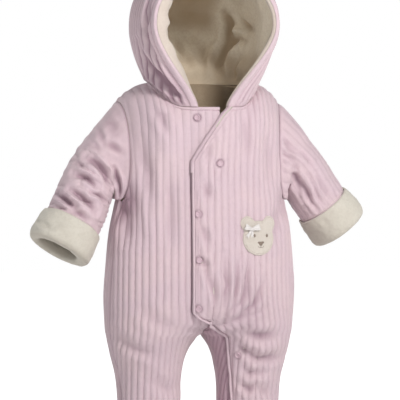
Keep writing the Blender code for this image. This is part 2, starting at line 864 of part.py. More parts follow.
def make_sleeves():
    for name, spec in SLEEVES.items():
        add_object("sleeve_" + name, sleeve_wall(spec), PINK, side=spec["side"])
        add_object("cuff_" + name, cuff(spec), CREAM, 0.95, side=spec["side"])


# Small pieces laid on the front


def frame_on(level, across, mirrored=False):
    """A point of the front, its normal, and the directions across and up the cloth there."""
    point, normal = body(1, across, level), body_normal(1, across, level)
    over = unit(body(1, across + 1.0, level) - body(1, across - 1.0, level))
    if mirrored:
        point, normal, over = (vector * (-1.0, 1.0, 1.0) for vector in (point, normal, over))
        over = -over
    return point, normal, over, unit(np.cross(over, normal)) * -1.0


def level_of(height):
    """The level at which the front's centre line has a height."""
    low, high = HEM, TOP
    for _ in range(40):
        middle = (low + high) / 2
        if body(1, 10.0, middle)[2] < height:
            low = middle
        else:
            high = middle
    return low


def add_snap(name, height, x, rib_under, on_overlap=True):
    level = level_of(height) if height > CROTCH_TOP else height
    across = across_at(1, level, x if on_overlap else -x)
    point, normal, over, up = frame_on(level, across, not on_overlap)
    lift = overlap_lift(across, level) if on_overlap else 0.0
    base = RIB_HEIGHT * rib_under + SEAM_GAP + lift
    profile = ((0.0, 1.0), (0.55, 1.0), (1.0, 0.72), (1.15, 0.35))
    mesh = bmesh.new()
    rings = []
    for rise, radius in profile:
        ring = []
        for i in range(SNAP_SIDES):
            angle = 2 * np.pi * i / SNAP_SIDES
            flat = over * np.cos(angle) + up * np.sin(angle)
            place = point + flat * SNAP_RADIUS * radius + normal * (base + rise * SNAP_HEIGHT)
            ring.append(mesh.verts.new(place * MM))
        rings.append(ring)
    for low, high in zip(rings, rings[1:]):
        for i in range(SNAP_SIDES):
            j = (i + 1) % SNAP_SIDES
            mesh.faces.new((low[i], low[j], high[j], high[i]))
    mesh.faces.new(rings[0])
    mesh.faces.new(rings[-1])
    add_object(name, mesh, PEARL, 0.45)


def make_snaps():
    add_snap("snap_1", *NECK_SNAP, on_overlap=False)
    for name, spec in SNAPS.items():
        add_snap(name, *spec)


def patch(outline, centre_level, centre_across, base, thickness, dome):
    """A flat applique: its outline in millimetres across and up the cloth, laid on the front."""
    mesh = bmesh.new()

    def place(across, up, out):
        level = centre_level + up
        side = centre_across + across
        return mesh.verts.new((body(1, side, level) + body_normal(1, side, level) * out) * MM)

    shells = (
        (0.5, 0.0),
        (1.0, 0.0),
        (1.0, thickness * 0.6),
        (0.9, thickness),
        (0.5, thickness + dome * 0.8),
    )
    middle = outline.mean(axis=0)
    rings = []
    for shrink, out in shells:
        rings.append([place(*(middle + (point - middle) * shrink), base + out) for point in outline])
    for low, high in zip(rings, rings[1:]):
        for i in range(len(outline)):
            j = (i + 1) % len(outline)
            mesh.faces.new((low[i], low[j], high[j], high[i]))
    for ring, out in ((rings[0], 0.0), (rings[-1], thickness + dome)):
        hub = place(*middle, base + out)
        for i in range(len(ring)):
            mesh.faces.new((ring[i], ring[(i + 1) % len(ring)], hub))
    return mesh


def bear_outline():
    """A round head and two ears, as one line round them all."""
    spec = BEAR
    points = []
    for i in range(spec["points"]):
        angle = 2 * np.pi * i / spec["points"]
        ray = np.array((np.cos(angle), np.sin(angle)))
        reach = 1.0 / np.hypot(ray[0] / spec["half_width"], ray[1] / spec["half_height"])
        for sign in (-1, 1):
            turn = np.radians(90.0 + sign * spec["ear_angle"] * 0.85)
            ear = spec["ear_reach"] * np.array((np.cos(turn), np.sin(turn)))
            along = ray @ ear
            off = ear @ ear - along**2
            if along > 0 and off < spec["ear_radius"] ** 2:
                reach = max(reach, along + np.sqrt(spec["ear_radius"] ** 2 - off))
        points.append(ray * reach)
    return np.array(points)


def bow_outline():
    points = []
    for i in range(BOW["points"]):
        angle = 2 * np.pi * i / BOW["points"]
        reach = BOW["waist"] + (BOW["reach"] - BOW["waist"]) * abs(np.cos(angle)) ** 1.5
        points.append((reach * np.cos(angle), reach * np.sin(angle) * 0.95))
    return np.array(points)


def make_bear():
    level, across = BEAR["height"], across_at(1, BEAR["height"], BEAR["x"])
    base = RIB_HEIGHT + SEAM_GAP
    head = patch(bear_outline(), level, across, base, BEAR["thickness"], BEAR["dome"])
    add_object("bear_head", head, CREAM, 0.95)
    turn = np.radians(BOW["angle"])
    shift = BOW["out"] * np.array((np.cos(turn), np.sin(turn)))
    base += BEAR["thickness"] + BEAR["dome"] + SEAM_GAP
    bow = patch(bow_outline(), level + shift[1], across + shift[0], base, BOW["thickness"], 0.8)
    add_object("bear_bow", bow, WHITE, 0.4)


for old in list(bpy.data.objects):
    bpy.data.objects.remove(old, do_unlink=True)

ARMHOLE_RING = armhole()
make_fronts()
make_backs()
make_hood()
make_nape_lining()
make_sleeves()
make_snaps()
make_bear()
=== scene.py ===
import itertools
import math

import bmesh
import bpy
import numpy as np
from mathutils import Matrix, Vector


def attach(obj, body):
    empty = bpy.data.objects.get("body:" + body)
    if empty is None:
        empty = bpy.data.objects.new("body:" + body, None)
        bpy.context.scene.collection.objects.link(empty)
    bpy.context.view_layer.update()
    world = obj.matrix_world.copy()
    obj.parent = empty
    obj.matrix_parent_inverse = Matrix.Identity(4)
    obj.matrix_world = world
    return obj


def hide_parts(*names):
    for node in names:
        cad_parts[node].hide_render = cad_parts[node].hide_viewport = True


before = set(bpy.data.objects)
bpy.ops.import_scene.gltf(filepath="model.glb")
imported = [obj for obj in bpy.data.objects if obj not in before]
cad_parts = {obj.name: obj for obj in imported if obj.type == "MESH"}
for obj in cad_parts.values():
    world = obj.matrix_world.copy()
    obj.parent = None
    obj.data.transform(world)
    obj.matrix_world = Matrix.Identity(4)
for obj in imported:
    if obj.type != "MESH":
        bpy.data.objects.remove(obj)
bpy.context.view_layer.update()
mm = 0.001
print("frame loaded")

# the cut, with the same named sizes as the solids, in millimetres

cut = {
    "ribPitch": 9.2,
    "ribHeight": 2.0,
    "wall": 2.4,
    "lining": 1.8,
    "gap": 0.3,
    "chest": -135.0,
    "blendTop": -250.0,
    "blendLow": -322.0,
    "crotchTop": -291.0,
    "crotch": -306.0,
    "hem": -500.0,
    "yoke": 135.0,
    "sideSeam": math.radians(11.0),
    "torsoPower": 2.25,  # 2 is a plain oval, and more is squarer
    "legPower": 2.1,
    "legPast": 1.08,  # a leg's path goes on past the inner side by this share
}
top = cut["chest"] + cut["yoke"]
torsoRows = (  # height, half width, front, back
    (-340.0, 116.0, -72.0, 72.0),
    (-306.0, 120.0, -80.0, 77.0),
    (-268.0, 122.5, -85.0, 77.0),
    (-220.0, 121.0, -86.0, 73.0),
    (-168.0, 115.5, -84.0, 68.0),
    (-135.0, 109.0, -82.0, 65.0),
    (-100.0, 104.0, -80.0, 62.0),
)
legRows = (  # height, centre, half width, front, back
    (-500.0, 66.0, 37.5, -39.0, 41.0),
    (-446.0, 65.0, 38.5, -40.0, 42.0),
    (-398.0, 64.0, 40.0, -42.0, 45.0),
    (-364.0, 64.5, 42.5, -46.0, 50.0),
    (-330.0, 64.0, 51.0, -57.0, 60.0),
    (-306.0, 60.0, 60.0, -68.0, 68.0),
    (-250.0, 60.5, 61.0, -82.0, 76.0),
)
neck = {
    "radius": 70.0,
    "middle": -14.0,
    "frontDepth": 70.0,
    "backDepth": 64.0,
    "frontHeight": -15.6,
    "sideHeight": 16.4,
    "backHeight": 18.0,
    "shoulderStart": math.radians(97.0),
    "reach": 72.0,
    "turnPower": 0.6,
    "ridge": 5.0,  # how far the shoulder's ridge swells, and falls past its tip
    "ridgeFall": 12.0,
    "shoulderReach": 98.0,
    "shoulderTip": np.array((107.0, 12.0, -8.0)),
    "full": {1: 0.46, -1: 0.4},
    "fullAt": 74.0,
    "fullWide": 17.0,
    "leanFrom": 22.0,  # from here outwards the yoke leans back towards the shoulder
    "leanOver": 58.0,
    "lean": 0.12,
    "arrive": 1.05,
}
armholeRows = (  # share of the yoke, half width of the chest line that reaches it
    (0.0, 106.0),
    (0.07, 103.5),
    (0.17, 100.0),
    (0.3, 97.5),
    (0.45, 96.0),
    (0.62, 95.5),
    (0.8, 96.3),
    (1.0, 98.0),
)
overlapRows = (  # height, x of the overlap's free edge
    (-500.0, 36.0),
    (-398.0, 34.0),
    (-364.0, 31.0),
    (-338.0, 26.0),
    (-320.0, 22.0),
    (-306.0, 17.0),
    (-296.0, 9.0),
    (-291.0, -1.0),
    (-282.0, -21.0),
    (-275.0, -27.5),
    (-84.0, -27.5),
    (-56.0, -11.1),
    (-25.0, 9.5),
    (-15.6, 19.5),
)
placket = {
    "underlapEdge": 8.0,
    "lift": 4.9,  # how far the overlap stands off what it covers
    "liftLevel": 2.0,  # past the underlap's edge the overlap is level for this long, and down again here:
    "liftDown": 36.0,
    "binding": 3.8,
    "bindingWidest": 2.3,
    "tuck": 15.0,
    "facing": 1.5,
}


def smooth(x):
    x = np.clip(x, 0.0, 1.0)
    return x * x * (3.0 - 2.0 * x)


def ramp(x, start, end):
    return smooth((x - start) / (end - start))


def mix(first, second, weight):
    return first + (second - first) * weight


def bell(x, width):  # 1 at 0, about a third at the width
    return np.exp(-((x / width) ** 2))


def bridge(start, leave, end, arrive, t):  # from start to end, by the ways that it leaves and arrives
    return mix(start, end, smooth(t)) + leave * t * (1 - t) ** 2 - arrive * t * t * (1 - t)


def flipped(points, side):  # to the wearer's right where side is -1
    return points * (side, 1.0, 1.0)


def unit(vectors):
    return vectors / np.maximum(np.linalg.norm(vectors, axis=-1, keepdims=True), 1e-9)


def curveThrough(rows, column, at):  # a smooth curve through a table's column
    keys = np.array([row[0] for row in rows])
    values = np.array([row[column] for row in rows])
    at = float(np.clip(at, keys[0], keys[-1]))
    i = int(np.clip(np.searchsorted(keys, at) - 1, 0, len(keys) - 2))
    slopes = np.gradient(values, keys)
    span = keys[i + 1] - keys[i]
    t = (at - keys[i]) / span
    bend = (slopes[i] * (1 - t) - slopes[i + 1] * t) * span * t * (1 - t)
    return mix(values[i], values[i + 1], smooth(t)) + bend


def atKeys(at, keys, values):  # each column of values, read off at the places given
    return np.stack([np.interp(at, keys, column) for column in values.T], axis=-1)


def alongLine(points):
    return np.concatenate(((0.0,), np.cumsum(np.linalg.norm(np.diff(points, axis=0), axis=1))))


def oval(centre, halfWidth, front, back, angles, power):
    cos, sin = np.cos(angles), np.sin(angles)
    x = centre + halfWidth * np.sign(cos) * np.abs(cos) ** (2 / power)
    y = (front + back) / 2 - (back - front) / 2 * np.sign(sin) * np.abs(sin) ** (2 / power)
    return np.stack((x, y), axis=1)


pathCache = {}


def torsoPath(face, height):
    key = ("torso", face, height)
    if key not in pathCache:
        angles = np.linspace(cut["sideSeam"], face * np.pi / 2, 90)
        sizes = [curveThrough(torsoRows, i, height) for i in (1, 2, 3)]
        points = oval(0.0, *sizes, angles, cut["torsoPower"])
        pathCache[key] = (alongLine(points), points)
    return pathCache[key]


def legPath(face, height):
    key = ("leg", face, height)
    if key not in pathCache:
        angles = np.linspace(cut["sideSeam"], face * np.pi * cut["legPast"], 150)
        sizes = [curveThrough(legRows, i, height) for i in (1, 2, 3, 4)]
        points = oval(*sizes, angles, cut["legPower"])
        along = alongLine(points)
        inseam = float(np.interp(np.pi, np.abs(angles[10:]), along[10:]))
        pathCache[key] = (along, points, inseam)
    return pathCache[key]


def halfGirth(face, height):
    torso = torsoPath(face, height)[0][-1]
    if height >= cut["crotchTop"]:
        return torso
    return mix(torso, legPath(face, height)[2], float(ramp(height, cut["crotchTop"], cut["crotch"])))


def rawSection(face, along, height):
    weight = float(ramp(height, cut["blendTop"], cut["blendLow"]))
    length, points = torsoPath(face, height)
    plan = atKeys(along, length, points)
    if weight == 0.0:
        return plan
    legLength, legPoints, inseam = legPath(face, height)
    leg = atKeys(along, legLength, legPoints)
    past = (along - length[-1]) / max(inseam - length[-1], 1.0)
    middle = (legPoints[:, 1].min() + legPoints[:, 1].max()) / 2
    plan[:, 1] = np.where(past > 0.0, mix(points[-1, 1], middle, past), plan[:, 1])
    return mix(plan, leg, weight)


def section(face, along, height):
    plan = rawSection(face, along, height)
    if cut["crotch"] <= height < cut["blendTop"]:
        end = halfGirth(face, height)
        inwards = rawSection(face, np.array([end]), height)[0, 0]
        plan[:, 0] -= inwards * smooth((along / end - 0.5) / 0.5)
        plan[:, 0] += cut["gap"] * ramp(height, cut["crotchTop"] + 6.0, cut["crotch"])
    return np.column_stack((plan, np.full(len(plan), height)))


def neckline(angle):
    angle = np.atleast_1d(angle)
    depth = np.where(angle < np.pi / 2, neck["frontDepth"], neck["backDepth"])
    rising = ramp(angle, math.radians(30), math.radians(90))
    height = mix(neck["frontHeight"], neck["sideHeight"], rising)
    height = height + (neck["backHeight"] - neck["sideHeight"]) * ramp(angle, np.pi / 2, np.pi)
    x, y = neck["radius"] * np.sin(angle), neck["middle"] - depth * np.cos(angle)
    return np.stack((x, y, height), axis=1)


def topOf(face, x):
    centre = 0.0 if face > 0 else np.pi
    turn = 1.0 - (1.0 - np.clip(x, 0.0, neck["reach"]) / neck["reach"]) ** neck["turnPower"]
    onNeck = neckline(mix(centre, neck["shoulderStart"], turn))
    share = (x - neck["reach"]) / (neck["shoulderReach"] - neck["reach"])
    ridge = mix(neckline(neck["shoulderStart"]), neck["shoulderTip"], share[:, None])
    ridge[:, 2] += neck["ridge"] * np.sin(np.pi * np.clip(share, 0, 1))
    ridge[:, 2] -= neck["ridgeFall"] * np.maximum(share - 1.0, 0.0)
    return np.where((x < neck["reach"])[:, None], onNeck, ridge)


def yokeRow(face, across, share):
    chest = cut["chest"]
    start = section(face, halfGirth(face, chest) - across, chest)
    below = section(face, halfGirth(face, chest - 4.0) - across, chest - 4.0)
    end = topOf(face, start[:, 0])
    rise = end[:, 2:] - chest
    lean = smooth((start[:, :1] - neck["leanFrom"]) / neck["leanOver"])
    finish = unit(mix(np.array((0.0, neck["lean"] * face, 1.0)), np.array((0.0, face, 0.0)), lean))
    bulge = bell(start[:, :1] - neck["fullAt"], neck["fullWide"])
    leave = (start - below) / 4.0 * rise
    reach = np.linalg.norm(end - start, axis=1, keepdims=True)
    arrive = finish * reach * (neck["arrive"] + neck["full"][face] * bulge)
    return bridge(start, leave, end, arrive, share)


def bodyRow(face, across, level):  # a row of the suit's surface, out from the centre line
    across = np.atleast_1d(across).astype(float)
    height = min(level, cut["chest"])
    full = halfGirth(face, max(height, cut["crotchTop"]))
    over = (across < 0.0) & (height >= cut["crotchTop"])
    if level <= cut["chest"]:
        points = section(face, full - np.where(over, -across, across), height)
    else:
        points = yokeRow(face, np.abs(across), (level - cut["chest"]) / cut["yoke"])
    points[:, 0] *= np.where(over, -1.0, 1.0)
    return points


def seamEnd(face, level):
    full = halfGirth(face, max(min(level, cut["chest"]), cut["crotchTop"]))
    if level <= cut["chest"]:
        return full
    edge = curveThrough(armholeRows, 1, (level - cut["chest"]) / cut["yoke"])
    along, points = torsoPath(face, cut["chest"])
    widest = int(np.argmax(points[:, 0]))
    return full - float(np.interp(-edge, -points[widest:, 0], along[widest:]))


def centreStart(face, level):
    if level >= cut["crotchTop"]:
        return 0.0
    return halfGirth(face, cut["crotchTop"]) - halfGirth(face, level)


def acrossAt(face, level, x):
    if x < 0.0:
        return -acrossAt(face, level, -x)
    low = centreStart(face, level)
    tries = np.linspace(low, low + 0.5 * (seamEnd(face, level) - low), 160)
    return float(np.interp(x, bodyRow(face, tries, level)[:, 0], tries))


def overlapEdge(height):  # x of the overlap's free edge
    return np.interp(height, *np.array(overlapRows).T)


def overlapStart(level):
    height = level
    for _ in range(3):
        start = acrossAt(1, level, float(overlapEdge(height)))
        height = bodyRow(1, start, level)[0, 2]
    return start


def overlapLift(across, level):
    past = across - placket["underlapEdge"]
    covered = 1.0 - ramp(past, placket["liftLevel"], placket["liftDown"])
    return placket["lift"] * covered * ramp(level, cut["crotch"], cut["crotchTop"])


print("cut ready")


def softNoise(points, size, seed):  # smooth noise from -1 to 1, size is one number or one per axis
    lattice = np.random.default_rng(seed).uniform(-1.0, 1.0, (32, 32, 32))
    places = points / np.array(size, dtype=float)
    cell = np.floor(places).astype(int)
    part = smooth(places - cell)
    total = np.zeros(points.shape[:-1])
    for corner in itertools.product((0, 1), repeat=3):
        weight = np.prod(np.where(corner, part, 1.0 - part), axis=-1)
        at = (cell + corner) % 32
        total += weight * lattice[at[..., 0], at[..., 1], at[..., 2]]
    return total


def gridNormals(points, sign, closed=False):
    if closed:
        across = np.roll(points, -1, axis=1) - np.roll(points, 1, axis=1)
    else:
        across = np.gradient(points, axis=1)
    return unit(np.cross(across, np.gradient(points, axis=0))) * sign


foldShape = {
    "wobble": 1.7,  # how far a drawn line wanders
    "wobbleSize": 12.0,
    "seeds": (151, 152),
    "turnedAway": 0.35,  # a fold fades where the cloth turns this far from the side that shows it
    "swell": 0.42,  # the cloth rises on both sides of a trough, this high, this far out and this wide
    "swellAt": 1.9,
    "swellWide": 0.85,
    "blunt": 0.04,
    "shadeDepth": 5.0,
}


def foldDepth(points, normals, folds, azimuth, widen=1.0):  # troughs drawn on the side that faces azimuth
    turn = math.radians(azimuth)
    towards = np.array((math.sin(turn), -math.cos(turn), 0.0))
    sideways = np.array((math.cos(turn), math.sin(turn), 0.0))
    plane = np.stack((points @ sideways, points[..., 2]), axis=-1)
    wobble = [softNoise(points, foldShape["wobbleSize"], seed) for seed in foldShape["seeds"]]
    plane = plane + foldShape["wobble"] * np.stack(wobble, axis=-1)
    seen = ramp(normals @ towards, 0.0, foldShape["turnedAway"])
    total = np.zeros(seen.shape)
    for depth, width, *line in folds:
        line = np.array(line, dtype=float)
        reached = alongLine(line) / alongLine(line)[-1]
        best = np.full(seen.shape, 1e9)
        share = np.zeros(seen.shape)
        for i in range(len(line) - 1):
            run = line[i + 1] - line[i]
            t = np.clip(((plane - line[i]) @ run) / (run @ run), 0.0, 1.0)
            away = np.linalg.norm(plane - line[i] - t[..., None] * run, axis=-1)
            nearer = away < best
            best = np.where(nearer, away, best)
            share = np.where(nearer, mix(reached[i], reached[i + 1], t), share)
        taper = np.sin(np.pi * np.clip(share, foldShape["blunt"], 1.0 - foldShape["blunt"])) ** 0.6
        across = best / (width * widen)
        swollen = foldShape["swell"] * bell(across - foldShape["swellAt"], foldShape["swellWide"])
        total -= depth * taper * (bell(across, 1.0) - swollen)
    return total * seen


def foldShade(folded):  # how far a point lies down in a fold, from 0 to 1
    return np.clip(-folded / foldShape["shadeDepth"], 0.0, 1.0)


def neighbours(count, reach):  # how much each place takes from each other one
    at = np.arange(count)
    weights = bell(at[:, None] - at[None, :], reach)
    return weights / weights.sum(axis=1, keepdims=True)


shoulderEase = {"reach": 25.0, "free": 30.0, "from": -10.0, "full": 30.0, "below": 9.0}


def relaxed(points, rows):  # eases the turn from yoke to shoulder, and leaves the edges where they are
    at = np.arange(points.shape[1])
    eased = np.einsum("ij,rjk->rik", neighbours(len(at), shoulderEase["reach"]), points)
    free = ramp(at, 0.0, shoulderEase["free"]) * ramp(at[::-1], 0.0, shoulderEase["free"])
    over = rows - cut["chest"]
    share = ramp(over, shoulderEase["from"], shoulderEase["full"])
    share = share * ramp(top - rows, 0.0, shoulderEase["below"])
    return points + (eased - points) * (free[None, :] * share[:, None])[..., None]


def linkedFaces(rows, columns, start, closed):
    index = start + np.arange(rows * columns).reshape(rows, columns)
    if closed:
        index = np.column_stack((index, index[:, 0]))
    quads = np.stack((index[:-1, :-1], index[:-1, 1:], index[1:, 1:], index[1:, :-1]), axis=-1)
    return index, quads.reshape(-1, 4).tolist()


def hemFaces(outside, inside):  # joins the outer sheet's edge to the same edge of the coarser inner sheet
    step = (len(outside) - 1) // (len(inside) - 1)
    return [
        [*outside[i * step : (i + 1) * step + 1].tolist(), int(inside[i + 1]), int(inside[i])]
        for i in range(len(inside) - 1)
    ]


def linked(name, data):
    made = bpy.data.objects.new(name, data)
    bpy.context.scene.collection.objects.link(made)
    return made


def meshOf(name, spots, faces, edges=()):  # spots are in millimetres
    data = bpy.data.meshes.new(name)
    data.from_pydata((np.reshape(spots, (-1, 3)) * mm).tolist(), list(edges), faces)
    return data


def markTroughs(data, depths):  # painted shade: the finishes darken where this is high, in rib troughs, folds, seams and hollows
    data.attributes.new("trough", "FLOAT", "POINT").data.foreach_set("value", np.ravel(depths))


def finishMesh(name, data, sharp=50.0):
    work = bmesh.new()
    work.from_mesh(data)
    bmesh.ops.remove_doubles(work, verts=work.verts, dist=2e-6)
    bmesh.ops.recalc_face_normals(work, faces=work.faces)
    work.to_mesh(data)
    work.free()
    data.shade_smooth()
    data.set_sharp_from_angle(angle=math.radians(sharp))
    return linked(name, data)


def clothShell(name, outer, inner, flat, trough, materials, closed=False, trimmed=None, inside=0.0):
    rows, columns = outer.shape[:2]  # the inner sheet has every nth row and column of the outer one
    outIndex, faces = linkedFaces(rows, columns, 0, closed)
    inIndex, inFaces = linkedFaces(*inner.shape[:2], rows * columns, closed)
    edges = [(outIndex[0], inIndex[0]), (outIndex[-1], inIndex[-1])]
    if not closed:
        edges += [(outIndex[:, 0], inIndex[:, 0]), (outIndex[:, -1], inIndex[:, -1])]
    hems = [face for pair in edges for face in hemFaces(*pair)]
    spots = np.concatenate((outer.reshape(-1, 3), inner.reshape(-1, 3)))
    data = meshOf(name, spots, faces + hems + inFaces)
    stepRow = (rows - 1) // (inner.shape[0] - 1)
    stepColumn = columns // inner.shape[1] if closed else (columns - 1) // (inner.shape[1] - 1)
    spread = np.concatenate((flat.reshape(-1, 2), flat[::stepRow, ::stepColumn].reshape(-1, 2))) * mm
    corners = np.zeros(len(data.loops), dtype=np.int32)
    data.loops.foreach_get("vertex_index", corners)
    data.uv_layers.new(name="flatCloth").data.foreach_set("uv", spread[corners].ravel())
    # inside is the painted shade that the whole inner sheet takes
    markTroughs(data, np.concatenate((trough.ravel(), np.full(inner.shape[0] * inner.shape[1], inside))))
    for material in materials:
        data.materials.append(material)
    which = [0] * (len(faces) + len(hems)) + [len(materials) - 1] * len(inFaces)
    if trimmed is not None:  # the outer faces that take the second finish
        which[: len(faces)] = trimmed[:-1, :-1].ravel().astype(int).tolist()
        which[len(faces) : len(faces) + len(hems)] = [int(trimmed[:, 0].all())] * len(hems)
    data.polygons.foreach_set("material_index", which)
    return finishMesh(name, data)


def flatMap(across, points):  # distance over and along the cloth, measured on its middle column
    middle = points[:, points.shape[1] // 2]
    along = np.repeat(alongLine(middle)[:, None], points.shape[1], axis=1)
    return np.stack((across, along), axis=-1)


def gridArea(points, closed=False):
    points = np.concatenate((points, points[:, :1]), axis=1) if closed else points
    a, b, c, d = points[:-1, :-1], points[:-1, 1:], points[1:, 1:], points[1:, :-1]
    return float((np.linalg.norm(np.cross(c - a, d - b), axis=-1) / 2.0).sum()) * mm * mm


clothPieces = {}


def settle(made, nodes=()):  # what the piece is part of, and the parts it stands for, which it hides
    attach(made, "root")
    if nodes:
        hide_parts(*nodes)


def declareCloth(made, node, flat, area, held="gathered", hemOf=None):  # flat is in millimetres
    settle(made, [node])
    if hemOf:
        clothPieces[hemOf]["hems"].append(made)
    else:
        clothPieces[made.name] = {"cloth": made, "flat": flat, "area": area, "held": held, "hems": []}


def titled(name):
    return name.replace("_", " ").title().replace(" ", "")


def makeCloth(node, slot, points, outer, inner, flat, trough, finishes, hemOf=None, closed=False, **how):
    made = clothShell(titled(node), outer, inner, flat, trough, finishes, closed, **how)
    declareCloth(made, node, flat, gridArea(points, closed), hemOf=hemOf)


def fromEdges(across):  # how far each place is from the nearer end of its row
    return np.minimum(across - across[:, :1], across[:, -1:] - across)


def legMiddle(face, level):  # how far from the centre line the front or back of the leg has its middle
    tries = np.linspace(centreStart(face, level), seamEnd(face, level), 400)
    x = bodyRow(face, tries, level)[:, 0]
    rising = int(np.argmax(x))
    return float(np.interp(60.0, x[:rising], tries[:rising]))


def ribShift(face, rows, start, end):  # keeps the ribs upright where the torso forks into the legs
    rest = legMiddle(face, cut["blendTop"])
    shift = [legMiddle(face, level) - rest if level < cut["blendTop"] else 0.0 for level in rows]
    return np.array(shift)[:, None] * ramp(rows, start, end)[:, None]


ribForm = {"round": 0.72, "shade": 0.9}  # a lower power makes a fuller rib


def ribRelief(across, wander):  # how high the ribs stand, and how far down between them each place is, which sets the painted shade there
    wave = np.abs(np.sin(np.pi * (across + wander) / cut["ribPitch"]))
    return cut["ribHeight"] * wave ** ribForm["round"], 1.0 - wave ** ribForm["shade"]


print("cloth tools ready")


class Wire:  # one socket of a material, so that its sums read as ordinary ones
    def __init__(self, finish, socket):
        self.finish, self.socket = finish, socket

    def sum(self, operation, first, second):
        return self.finish.node("Math", {"operation": operation}, {0: first, 1: second})

    def __add__(self, other):
        return self.sum("ADD", self, other)

    def __mul__(self, other):
        return self.sum("MULTIPLY", self, other)

    def __pow__(self, other):
        return self.sum("POWER", self, other)

    def spread(self, low, high, least=0.0, most=1.0):  # from low..high to least..most, softly
        ends = {"From Min": low, "From Max": high, "To Min": least, "To Max": most}
        settings = {"interpolation_type": "SMOOTHSTEP"}
        return self.finish.node("MapRange", settings, {"Value": self, **ends}, "Result")


class Finish:  # a material being built, around one Principled shader
    def __init__(self, name, **fixed):
        self.material = bpy.data.materials.new(name)
        self.material.use_nodes = True
        self.tree = self.material.node_tree
        self.shader = self.tree.nodes["Principled BSDF"]
        for socket, value in fixed.items():
            self.shader.inputs[socket.replace("_", " ")].default_value = value

    def node(self, kind, settings=None, inputs=None, output=0):
        made = self.tree.nodes.new("ShaderNode" + kind)
        for key, value in (settings or {}).items():
            setattr(made, key, value)
        for key, value in (inputs or {}).items():
            self.feed(made.inputs[key], value)
        return Wire(self, made.outputs[output])

    def feed(self, socket, value):
        if isinstance(value, Wire):
            self.tree.links.new(value.socket, socket)
        elif isinstance(value, tuple) and len(value) == 3 and socket.type == "RGBA":
            socket.default_value = (*value, 1.0)
        else:
            socket.default_value = value

    def place(self):
        return self.node("TexCoord", output="Object")

    def noise(self, place, scale, detail=2.0, rough=0.5):
        sizes = {"Vector": place, "Scale": scale, "Detail": detail, "Roughness": rough}
        return self.node("TexNoise", None, sizes, "Fac")

    def blend(self, weight, first, second):  # colours
        made = self.tree.nodes.new("ShaderNodeMix")
        made.data_type = "RGBA"
        for at, value in ((0, weight), (6, first), (7, second)):
            self.feed(made.inputs[at], value)
        return Wire(self, made.outputs[2])

    # the painted shade that each mesh carries, from 0 to 1
    def trough(self):
        return self.node("Attribute", {"attribute_name": "trough"}, None, "Fac")

    def finishWith(self, colour, rough, height=None, strength=0.5, reach=0.001):
        self.feed(self.shader.inputs["Base Color"], colour)
        self.feed(self.shader.inputs["Roughness"], rough)
        if height is not None:
            sizes = {"Height": height, "Strength": strength, "Distance": reach}
            bump = self.node("Bump", None, sizes, "Normal")
            self.feed(self.shader.inputs["Normal"], bump)
        return self.material


velourLook = {
    "sheen": {"Sheen_Weight": 0.35, "Sheen_Roughness": 0.45, "Sheen_Tint": (1.0, 0.93, 0.95, 1.0)},
    "nap": (900.0, 3.0, 0.6),  # a noise's scale, detail and roughness
    "patch": (22.0, 3.0, 0.55),
    "brushedToneAndShade": (140.0, 2.0, 0.6),
    "troughPower": 1.5,
    "troughShade": 0.8,
    "brushedShade": 0.08,
    "napShade": 0.14,
    "rough": (0.78, 0.9),
    "bump": (0.35, 0.0009),
}
fleeceLook = {
    "sheen": {"Sheen_Weight": 0.3, "Sheen_Roughness": 0.6, "Sheen_Tint": (1.0, 0.97, 0.9, 1.0)},
    "clump": 330.0,
    "bearClump": 420.0,
    "fibres": 3.2,  # how much finer than the clumps
    "patch": (30.0, 2.0, 0.5),
    "clumpShade": 0.22,
    "patchShade": 0.2,
    "troughShade": 0.9,
    "rough": 0.95,
    "bump": (0.3, 0.0012),
}
threadLook = {"sheen": 0.15, "strands": (2400.0, 2.0, 0.5), "rough": 0.6, "bump": (0.3, 0.0003)}


def makeVelour(name, crest, trough, warm):
    look = velourLook
    made = Finish(name, **look["sheen"])
    place = made.place()
    nap, patch, brushedToneAndShade = (made.noise(place, *look[kind]) for kind in ("nap", "patch", "brushedToneAndShade"))
    lit = made.blend(patch.spread(0.35, 0.7), crest, warm)
    # painted shade: darker towards the trough colour where the mesh says
    shade = (made.trough() ** look["troughPower"]) * look["troughShade"]
    colour = made.blend(shade + brushedToneAndShade.spread(0.5, 0.8) * look["brushedShade"], lit, trough)
    colour = made.blend(nap.spread(0.35, 0.75, 0.0, look["napShade"]), colour, trough)
    rough = patch.spread(0.3, 0.7, *look["rough"])
    return made.finishWith(colour, rough, nap * 0.6 + brushedToneAndShade * 0.8, *look["bump"])


def makeFleece(name, light, shade, clump=fleeceLook["clump"]):
    look = fleeceLook
    made = Finish(name, **look["sheen"])
    place = made.place()
    clumps = made.noise(place, clump, 2.0, 0.6)
    fibres = made.noise(place, clump * look["fibres"], 3.0, 0.7)
    patch = made.noise(place, *look["patch"])
    colour = made.blend(clumps.spread(0.62, 0.30, 0.0, look["clumpShade"]), light, shade)
    colour = made.blend(patch.spread(0.4, 0.75, 0.0, look["patchShade"]), colour, shade)
    # painted shade: darker towards the shade colour where the mesh says
    colour = made.blend(made.trough() * look["troughShade"], colour, shade)
    return made.finishWith(colour, look["rough"], clumps * 0.6 + fibres * 0.3, *look["bump"])


def makeThread(name, colour, dark):
    made = Finish(name, Sheen_Weight=threadLook["sheen"])
    strands = made.noise(made.place(), *threadLook["strands"])
    return made.finishWith(made.blend(strands, colour, dark), threadLook["rough"], strands, *threadLook["bump"])


def makeSmooth(name, scale, light, shade, rough, bump=None, **fixed):  # snaps and ribbon
    made = Finish(name, **fixed)
    grain = made.noise(made.place(), scale, 1.0, 0.5)
    relief = (grain, *bump) if bump else ()
    return made.finishWith(made.blend(grain, light, shade), grain.spread(0.2, 0.8, *rough), *relief)


